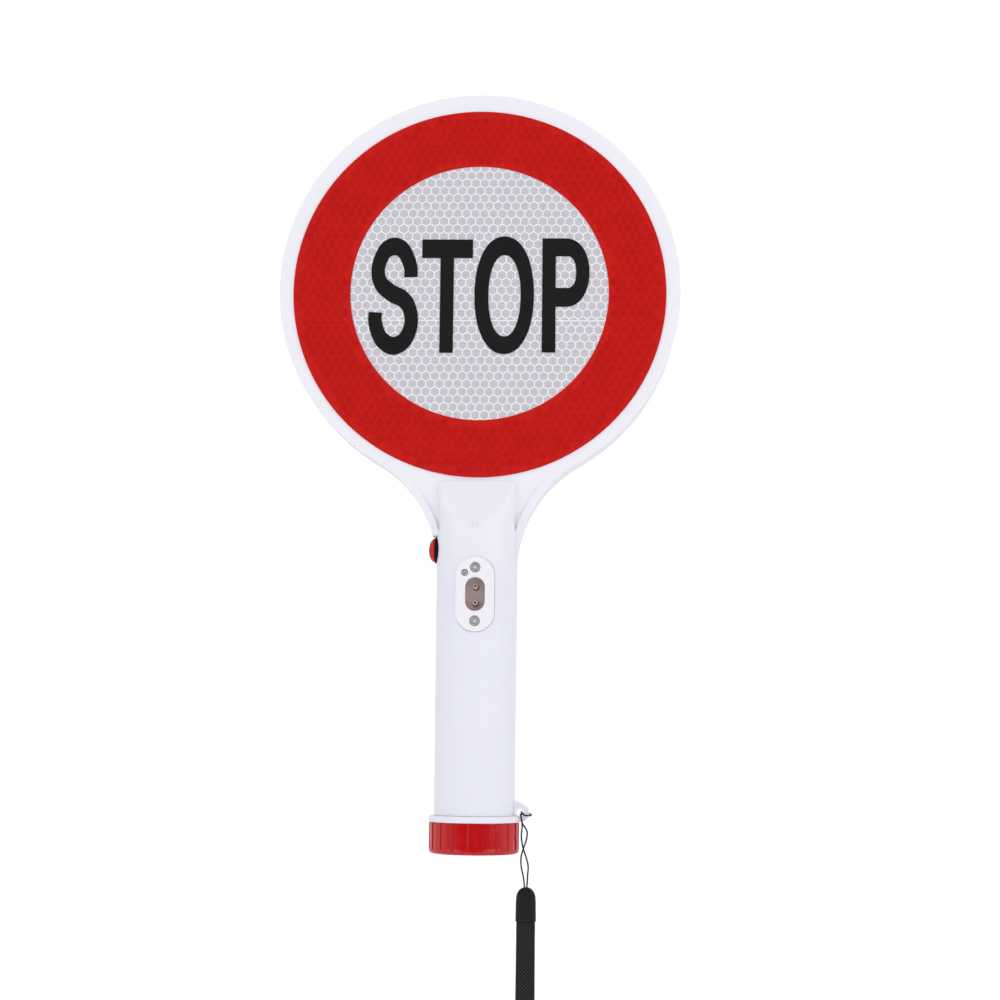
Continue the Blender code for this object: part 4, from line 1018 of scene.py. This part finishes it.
def letter_s(name, front, back):
    """A bent stroke, thinner where it runs upright than where it runs level."""
    squeeze, stroke = 0.74, 0.0083
    route = [(-0.0317, 0.0077), (-0.0320, 0.0130), (-0.0350, 0.0199), (-0.0395, 0.0222),
             (-0.0441, 0.0196), (-0.0469, 0.0115), (-0.0455, 0.0048), (-0.0405, 0.0002),
             (-0.0352, -0.0026), (-0.0321, -0.0072), (-0.0313, -0.0145), (-0.0342, -0.0218),
             (-0.0396, -0.0246), (-0.0451, -0.0212), (-0.0478, -0.0140), (-0.0479, -0.0089)]
    middle = sum(x for x, _ in route) / len(route)
    wide = [((x - middle) / squeeze, z, 0.0) for x, z in route]
    made = flat_curve(name, [catmull(wide, 8)], False, "NONE", back - front)
    made = tidy_mesh(bake(made))
    step = made.modifiers.new("stroke", "SOLIDIFY")
    step.thickness = stroke
    step.offset = 0.0
    step.use_even_offset = True
    made = bake(made)
    for vertex in made.data.vertices:
        vertex.co.x = vertex.co.x * squeeze + middle
    return tidy_mesh(placed(made, (0.0, (front + back) / 2.0, LETTER_Z), TURN["Y"]))


def letter_loops(letter):
    """The outlines of a block t, o or p."""
    if letter == "t":
        bar_top, bar_low, foot = 0.0255, 0.0168, -0.0277
        return [[(-0.0266, bar_top), (-0.0266, bar_low), (-0.0181, bar_low), (-0.0181, foot),
                 (-0.0119, foot), (-0.0119, bar_low), (-0.0032, bar_low), (-0.0032, bar_top)]]
    if letter == "o":
        return [oval((0.01142, -0.0006), 0.01368, 0.0276, 2.15, 120)[:-1],
                oval((0.01158, -0.0009), 0.00743, 0.0191, 2.15, 96)[:-1]]
    top, foot, bowl_low = 0.0261, -0.0274, -0.0060
    bowl = oval((0.0400, (top + bowl_low) / 2.0), 0.0106, (top - bowl_low) / 2.0, 2.1, 48,
                90.0, -90.0)
    outer = [(0.0351, foot), (0.0289, foot), (0.0289, top)] + bowl + [(0.0351, bowl_low)]
    eye = oval((0.0405, 0.01025), 0.0040, 0.00745, 2.3, 32, 90.0, -90.0)
    return [outer, [(0.0351, 0.0028), (0.0351, 0.0177)] + eye]


def ring_slab(name, outer, inner, front, back, count=256):
    """A ring about the sheeting's middle, or a disc where the inner radius is 0."""
    loops = [circle((0.0, 0.0), outer, count)]
    if inner:
        loops.append(circle((0.0, 0.0), inner, count))
    return slab(name, loops, front, back, (0.0, SHEET_Z))


def make_face(word):
    """One face of the head: the sheeting and its cells, the red film and its cells, the letters."""
    line_y = SHEET_LOW.y + CELL_RISE
    clear = 0.62 * HEX_PITCH
    field, ring = [], []
    for cell in honeycomb(CELL_ABOVE, 1.0) + honeycomb(CELL_BELOW, -1.0):
        away = math.hypot(cell[0], cell[1] - SHEET_Z)
        if away < FIELD_R + 0.6 * HEX_PITCH:
            field.append(cell)
        if FIELD_R + clear < away < SHEET_R - clear:
            ring.append(cell)
    pieces = [
        (ring_slab(f"{word}_sheeting_base", SHEET_R, 0.0, line_y, SHEET_HIGH.y), "sheeting_line",
         "prismatic_sheeting", [f"{word}_sheeting"]),
        (cell_prisms(f"{word}_sheeting_cells", field, line_y, CELL_RISE), "sheeting_cell",
         "prismatic_sheeting", []),
        (ring_slab(f"{word}_red_film", SHEET_R, FIELD_R, BAND_LOW.y, BAND_HIGH.y), "red_film",
         "red_film", [f"{word}_red_band"]),
        (cell_prisms(f"{word}_red_film_cells", ring, BAND_LOW.y, RED_CELL_RISE), "red_cell",
         "red_film", []),
        (letter_s(f"{word}_cut_letter_s", LETTER_LOW.y, BAND_HIGH.y), "black_film", "black_film",
         [f"{word}_letter_s"]),
    ]
    for letter in "top":
        pieces.append((slab(f"{word}_cut_letter_{letter}", letter_loops(letter), LETTER_LOW.y,
                            BAND_HIGH.y, (0.0, LETTER_Z)), "black_film", "black_film",
                       [f"{word}_letter_{letter}"]))
    half_turn = Matrix.Rotation(math.pi, 4, "Z")
    for made, look, slot_name, nodes in pieces:
        if word == "rear":
            made.data.transform(half_turn)
        finish_piece(smooth(made, 30.0), look, "root", slot_name, *nodes)


make_face("front")
make_face("rear")


# ---- switch
def make_switch():
    face_x = BEZEL_LOW.x
    bezel_r, bore_r, button_r, neck_r = 0.0060, 0.00578, 0.00555, 0.0026
    ledge, back = -0.0022, -0.0040
    rim = [(bore_r, -0.0001), (bore_r + 0.00008, 0.0), (bezel_r - 0.00006, 0.0),
           (bezel_r, -0.0001), (bezel_r, back), (neck_r, back), (neck_r, ledge), (bore_r, ledge)]
    bezel = lathe("switch_ring", rim, 72, True, (face_x, 0.0, SWITCH_Z), FACE_LEFT)
    finish_piece(smooth(bezel), "bezel", "root", "black_plastic", "switch_bezel")
    rise = face_x - BUTTON_LOW.x
    profile = dome(button_r, rise, 6)
    skirt, stem_r, stem_end = -0.0004, 0.0022, -0.0068
    profile += [(button_r, skirt), (stem_r, skirt), (stem_r, stem_end), (0.0, stem_end)]
    button = lathe("switch_dome", profile, 72, False, (face_x, 0.0, SWITCH_Z), FACE_LEFT)
    finish_piece(smooth(button), "button", "button", "button_plastic", "switch_button")


make_switch()


# ---- charging inlet
BOTH = (("upper", 1), ("lower", -1))      # the pins and the screws: name and side
HOLE_Y, HOLE_DEPTH = -0.0175, 0.0060
SCREW_TWIST = 22.0                        # degrees that the cross recesses are turned, mirrored


def make_plate():
    lamp_hole_r, shank_r, head_hole_r, head_hole_depth = 0.0016, 0.0013, 0.00235, 0.0032
    plate = slab("inlet_cover", [stadium(PLATE_W, PLATE_H, 40), stadium(SOCKET_W, SOCKET_H, 32)],
                 PLATE_LOW.y, PLATE_HIGH.y, (0.0, INLET_Z))
    plate = bevelled(plate, 0.00045, 4)
    cutters = [rod("lamp_hole", lamp_hole_r, (LAMP_X, HOLE_Y, LAMP_Z), HOLE_DEPTH, "Y")]
    for _, s in BOTH:
        z = INLET_Z + s * SCREW_OFFSET
        cutters.append(rod("shank", shank_r, (0.0, HOLE_Y, z), HOLE_DEPTH, "Y"))
        cutters.append(rod("seat", head_hole_r, (0.0, PLATE_LOW.y, z), head_hole_depth, "Y"))
    plate = combined(plate, cutters, "DIFFERENCE")
    finish_piece(even_shading(plate), "plate", "root", "plate_plastic", "inlet_plate")


def make_socket():
    """The recessed body and its two hollow pins, each with a black plug in its bore as painted
    shade.
    """
    wall, way_r = 0.0016, 0.00145
    place = (0.0, INLET_Z)
    body = slab("socket_body", [stadium(SOCKET_W + wall, SOCKET_H + wall)], SOCKET_LOW.y,
                SOCKET_HIGH.y, place)
    recess = slab("recess", [stadium(SOCKET_W, SOCKET_H)], -0.0200, SOCKET_FLOOR_Y, place)
    cutters = [bevelled(recess, 0.0008, 4)]
    for _, s in BOTH:
        z = INLET_Z + s * PIN_PITCH / 2.0
        cutters.append(rod("way", way_r, (0.0, SOCKET_FLOOR_Y, z), HOLE_DEPTH, "Y", 32))
    body = combined(body, cutters, "DIFFERENCE")
    finish_piece(even_shading(body, 40.0), "socket", "root", "socket_plastic", "inlet_body")

    pin_r, bore_r, edge = (PIN_HIGH.x - PIN_LOW.x) / 2.0, 0.00045, 0.0005
    deep, foot = -0.0022, -0.0120
    profile = [(0.0, deep), (bore_r, deep), (bore_r, -0.0001), (bore_r + 0.00007, 0.0)]
    profile += arc((pin_r - edge, -edge), edge, 90.0, 0.0, 6) + [(pin_r, foot), (0.0, foot)]
    for word, s in BOTH:
        z = INLET_Z + s * PIN_PITCH / 2.0
        pin = lathe(f"socket_pin_{word}", profile, 48, False, (0.0, PIN_LOW.y, z), FACE_OUT)
        finish_piece(smooth(pin), "pin", "root", "steel", f"inlet_pin_{word}")
        # painted shade: a black plug stands in for the darkness inside each hollow pin
        bore = rod(f"pin_bore_painted_shade_{word}", 0.00050, (0.0, PIN_LOW.y + 0.00045, z), 0.0008, "Y", 24)
        finish_piece(smooth(bore), "bore", "root", "steel")


def make_lamp():
    """The charge lamp's domed lens and the two dark leads seen in it."""
    lamp_r, rise, foot, thin = 0.00125, 0.0008, -0.0050, 0.00014
    front_y, lead_front_y, lead_back_y = -0.0172, -0.01735, -0.0166
    lens = dome(lamp_r, rise, 10, -rise) + [(lamp_r, foot), (0.0, foot)]
    lamp = lathe("charge_lamp", lens, 40, False, (LAMP_X, front_y, LAMP_Z), FACE_OUT)
    finish_piece(smooth(lamp), "lamp", "root", "led_lens", "charge_indicator")
    for index, (x, z, tall) in enumerate(((-0.00035, -0.0002, 0.0011), (0.0004, 0.0, 0.0007))):
        lead = box(f"lamp_wire_{index + 1}",
                   (LAMP_X + x - thin, lead_front_y, LAMP_Z + z - tall / 2),
                   (LAMP_X + x + thin, lead_back_y, LAMP_Z + z + tall / 2))
        finish_piece(bevelled(lead, 0.00005, 2), "dark", "root", "led_lens")


def make_screw(name, place, turn_degrees, node):
    """A pan-head screw: a groove in the head around a hub with a tapered cross recess. The hub
    wears a brighter steel as a painted highlight.
    """
    head_r, edge, shank_r, under, tip = 0.00215, 0.0007, 0.0010, -0.0011, -0.0055
    rim = arc((head_r - edge, -edge), edge, 90.0, 0.0, 8)
    groove_r, groove_z, hub_r = 0.00112, -0.0006, 0.00084
    profile = ([(0.0, groove_z), (groove_r - 0.0001, groove_z), (groove_r, -0.0001)] + rim
               + [(head_r, under), (shank_r, under), (shank_r, tip), (0.0, tip)])
    head = lathe(name, profile, 64, place=place, turn=FACE_OUT)
    finish_piece(smooth(head), "steel", "root", "steel", node)
    hub = [(0.0, 0.0002), (hub_r * 0.6, 0.00015), (hub_r, -0.0001), (hub_r, groove_z),
           (0.0, groove_z)]
    drive = lathe(f"{name}_drive", hub, 48)
    reach, arm, deep, above = 0.0009, 0.00014, 0.0004, 0.0006
    wings = []
    for angle in (0.0, 90.0):
        wing = box("wing", (-reach, -arm, -deep), (reach, arm, above))
        for vertex in wing.data.vertices:
            if vertex.co.z < 0.0:       # the recess narrows towards its floor
                vertex.co.x *= 0.45
                vertex.co.y *= 0.8
        wings.append(placed(wing, (0.0, 0.0, 0.0), (0.0, 0.0, math.radians(angle + turn_degrees))))
    drive = placed(combined(drive, wings, "DIFFERENCE"), place, FACE_OUT)
    # painted highlight: the hub gets the brighter steel that stands in for light on the centre of
    # the head
    finish_piece(even_shading(drive, 40.0), "drive", "root", "steel")


make_plate()
make_socket()
for word, s in BOTH:
    make_screw(f"cover_screw_{word}", (0.0, PLATE_LOW.y + 0.0001, INLET_Z + s * SCREW_OFFSET),
               SCREW_TWIST * s, f"inlet_screw_{word}")
make_lamp()


# ---- collar and end cap
def helix(radius, turns, phase, per_turn=64):
    """The thread's line, whose start the phase lifts by a part of its pitch."""
    out = []
    for i in range(int(per_turn * turns) + 1):
        angle = 2.0 * math.pi * i / per_turn
        height = THREAD_LOW_Z + THREAD_PITCH * (angle + phase) / (2.0 * math.pi)
        out.append(Vector((*polar(radius, angle), height)))
    return out


def make_collar():
    """The ring between grip and cap, with a sleeve up, a threaded spigot down and the lug."""
    sleeve_r, edge = GRIP_BORE_R - 0.0003, 0.0006
    profile = [(SPIGOT_BORE_R, COLLAR_HIGH.z), (sleeve_r, COLLAR_HIGH.z), (sleeve_r, COLLAR_TOP_Z)]
    profile += arc((COLLAR_R - edge, COLLAR_TOP_Z - edge), edge, 90.0, 0.0, 5)
    profile += [(COLLAR_R, COLLAR_END_Z + 0.0002), (COLLAR_R - 0.0002, COLLAR_END_Z),
                (SPIGOT_R, COLLAR_END_Z), (SPIGOT_R, COLLAR_LOW.z + edge),
                (SPIGOT_R - edge, COLLAR_LOW.z), (SPIGOT_BORE_R, COLLAR_LOW.z)]
    collar = lathe("collar_ring", profile, 160, True)
    inner_x = GRIP_END_R + 0.0004       # the lug starts inside the ring
    outline = arc((EYE_X, EYE_Z), LUG_R, -100.0, 58.0, 32)
    outline += [(inner_x, LUG_TOP_Z), (inner_x, COLLAR_TOP_Z - 0.0015)]
    lug = slab("lug", [outline], -LUG_HALF, LUG_HALF)
    eye = rod("eye", EYE_R, (EYE_X, 0.0, EYE_Z), 0.0100, "Y", 48)
    lug = bevelled(combined(lug, [eye], "DIFFERENCE"), 0.0006, 4)
    eye = rod("eye", EYE_R - 0.0001, (EYE_X, 0.0, EYE_Z), 0.0100, "Y", 48)
    collar = combined(combined(collar, [lug], "UNION"), [eye], "DIFFERENCE")
    finish_piece(even_shading(collar), "white", "root", "white_plastic", "handle_collar")
    ridge = round_tube("collar_thread", helix(SPIGOT_R, 2.0, 0.0), THREAD_RIDGE)
    finish_piece(ridge, "white", "root", "white_plastic")


def make_cap():
    """The fluted cap as one turned skin whose radius dips between the ribs.

    Each row is a radius, a height and the share of the flutes' depth that it has.
    """
    low, high, corner = CAP_LOW.z, CAP_HIGH.z, 0.0015
    outer = [(CAP_R - 0.0004, high, 0.0), (CAP_R - 0.0001, high - 0.0001, 0.7),
             (CAP_R, high - 0.0004, 1.0)]
    outer += [(CAP_R, low + corner + lift, fade) for lift, fade in
              ((0.0030, 1.0), (0.0009, 1.0), (0.0005, 0.85), (0.0002, 0.35), (0.0, 0.0))]
    outer += [(CAP_R - corner + r, low + corner + z, 0.0)
              for r, z in arc((0.0, 0.0), corner, -10.0, -90.0, 7)]
    outer += [(0.0, low, 0.0)]
    mouth_r, step_z, floor_z = CAP_BORE_R + 0.0014, high - 0.0020, low + 0.0021
    inner = [(0.0, floor_z, 0.0), (CAP_BORE_R, floor_z, 0.0), (CAP_BORE_R, step_z, 0.0),
             (mouth_r, step_z, 0.0), (mouth_r, high - 0.0002, 0.0), (mouth_r + 0.0002, high, 0.0)]
    rows = outer + inner
    pitch = 2.0 * math.pi / CAP_FLUTES
    rib_half, slope = math.radians(1.35), math.radians(0.9)

    def relief(index, angle):
        off = abs((angle - RIB_START + pitch / 2.0) % pitch - pitch / 2.0)
        share = min(1.0, max(0.0, (off - rib_half) / slope))
        share = share * share * (3.0 - 2.0 * share)
        bulge = 0.25 * math.cos(math.pi * (off / (pitch / 2.0) - 1.0) / 2.0) ** 2
        return rows[index][2] * FLUTE_DEPTH * share * (1.0 - bulge)

    cap = lathe("fluted_cap", [(r, z) for r, z, _ in rows], CAP_FLUTES * 36, True, relief=relief)
    finish_piece(even_shading(cap, 40.0), "red_plastic", "cap", "red_plastic", "end_cap")
    ridge = round_tube("cap_inner_thread", helix(CAP_BORE_R + 0.0001, 1.5, math.pi), THREAD_RIDGE)
    finish_piece(ridge, "red_plastic", "cap", "red_plastic")


def make_spring():
    foot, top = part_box("battery_spring")
    turns, per_turn, wire, wide, taper = 3.5, 40, 0.00045, 0.0072, 0.0030
    low, high = foot.z + wire, top.z - wire
    count = int(turns * per_turn)
    points = []
    for i in range(count + 1):
        radius = wide - taper * i / count
        points.append(Vector((*polar(radius, 2.0 * math.pi * i / per_turn),
                              low + (high - low) * i / count)))
    finish_piece(round_tube("coil_spring", points, wire), "steel", "cap", "steel", "battery_spring")


make_collar()
make_cap()
make_spring()
make_gate_mark()

# ---- carried-over CAD nodes
CARRIED = {
    "rubber": ["cap_seal"],
    "brass": ["cap_contact_plate", "positive_contact", "return_strip", "switch_terminal_upper",
              "switch_terminal_lower"],
    "cell": ["battery_cell"],
    "black": ["battery_cradle", "switch_body"],
    "board": ["led_board", "charger_board"],
    "amber": ["charger_capacitor"],
    "lens": [f"led_{i}" for i in range(1, 9)],
    "steel": [f"shell_screw_{i}" for i in range(1, 5)],
    "wire_red": ["wire_led_positive", "wire_battery"],
    "wire_black": ["wire_led_negative"],
}
for look, names in CARRIED.items():
    for name in names:
        dress(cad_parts[name], look)


# ---- stage and light
def add_choice(tree, share, first, second):
    """One shader where the share is 0 and another where it is 1."""
    made = new_node(tree, "MixShader", Fac=share)
    tree.links.new(first.outputs[0], made.inputs[1])
    tree.links.new(second.outputs[0], made.inputs[2])
    return made


def light_world(ambient, in_front, behind):
    """A white room: pure white to the camera, gentler as light, dark in front in reflections."""
    world = bpy.data.worlds.new("studio")
    SCENE.world = world
    world.use_nodes = True
    tree = world.node_tree
    room = tree.nodes["Background"]
    room.inputs["Color"].default_value = (0.955, 0.955, 1.0, 1.0)
    room.inputs["Strength"].default_value = ambient
    backdrop = new_node(tree, "Background", Color=(1.0, 1.0, 1.0, 1.0), Strength=1.05)
    facing = new_node(tree, "SeparateXYZ", Vector=new_node(tree, "TexCoord").outputs["Generated"])
    fade = new_node(tree, "MapRange", Value=facing.outputs["Y"],
                    **{"From Min": -0.80, "From Max": -0.15, "To Min": in_front, "To Max": behind})
    mirrored_room = new_node(tree, "Background", Color=(0.98, 0.98, 1.0, 1.0),
                             Strength=fade.outputs["Result"])
    ray = new_node(tree, "LightPath").outputs
    light = add_choice(tree, ray["Is Glossy Ray"], room, mirrored_room)
    seen = add_choice(tree, ray["Is Camera Ray"], light, backdrop)
    tree.links.new(seen.outputs["Shader"], tree.nodes["World Output"].inputs["Surface"])


FLOOR_Z = -0.245
FLOOR_HALF, FLOOR_FRONT, FLOOR_BACK = 2.2, -1.9, 0.75
# name, place, size in metres, watts, and whether shiny surfaces reflect it
SOFT_BOXES = [("left", (-1.25, -1.05, 0.75), 1.3, 6.4, True),
              ("right", (1.25, -1.05, 0.65), 1.3, 6.9, True),
              ("front", (0.15, -1.05, 0.0), 0.4, 0.62, False),
              ("rear", (0.2, 1.7, 0.5), 1.2, 7.0, False),
              ("back", (0.0, 0.9, 2.1), 1.5, 12.0, False)]


def soft_box(name, place, size, power, glossy):
    data = bpy.data.lights.new(name, "AREA")
    data.size = size
    data.energy = power
    lamp = add_object(name, data)
    aim = (Vector((0.0, 0.0, 0.1)) - Vector(place)).to_track_quat("-Z", "Y")
    lamp.matrix_world = Matrix.Translation(place) @ aim.to_matrix().to_4x4()
    lamp.visible_glossy = glossy


def make_stage():
    corners = ((-1, FLOOR_FRONT), (1, FLOOR_FRONT), (1, FLOOR_BACK), (-1, FLOOR_BACK))
    floor = mesh_object("floor", [(side * FLOOR_HALF, y, FLOOR_Z) for side, y in corners],
                        [(0, 1, 2, 3)])
    look = Look("floor_paper", **{"Roughness": 0.9, "Specular IOR Level": 0.1})
    look.tint(look.noise(3.0), (0.35, (246, 246, 248)), (0.65, (243, 243, 245)))
    floor.data.materials.append(look.material)
    light_world(0.65, 0.08, 0.85)
    for lamp in SOFT_BOXES:
        soft_box(*lamp)
    SCENE.view_settings.view_transform = "Standard"


make_stage()
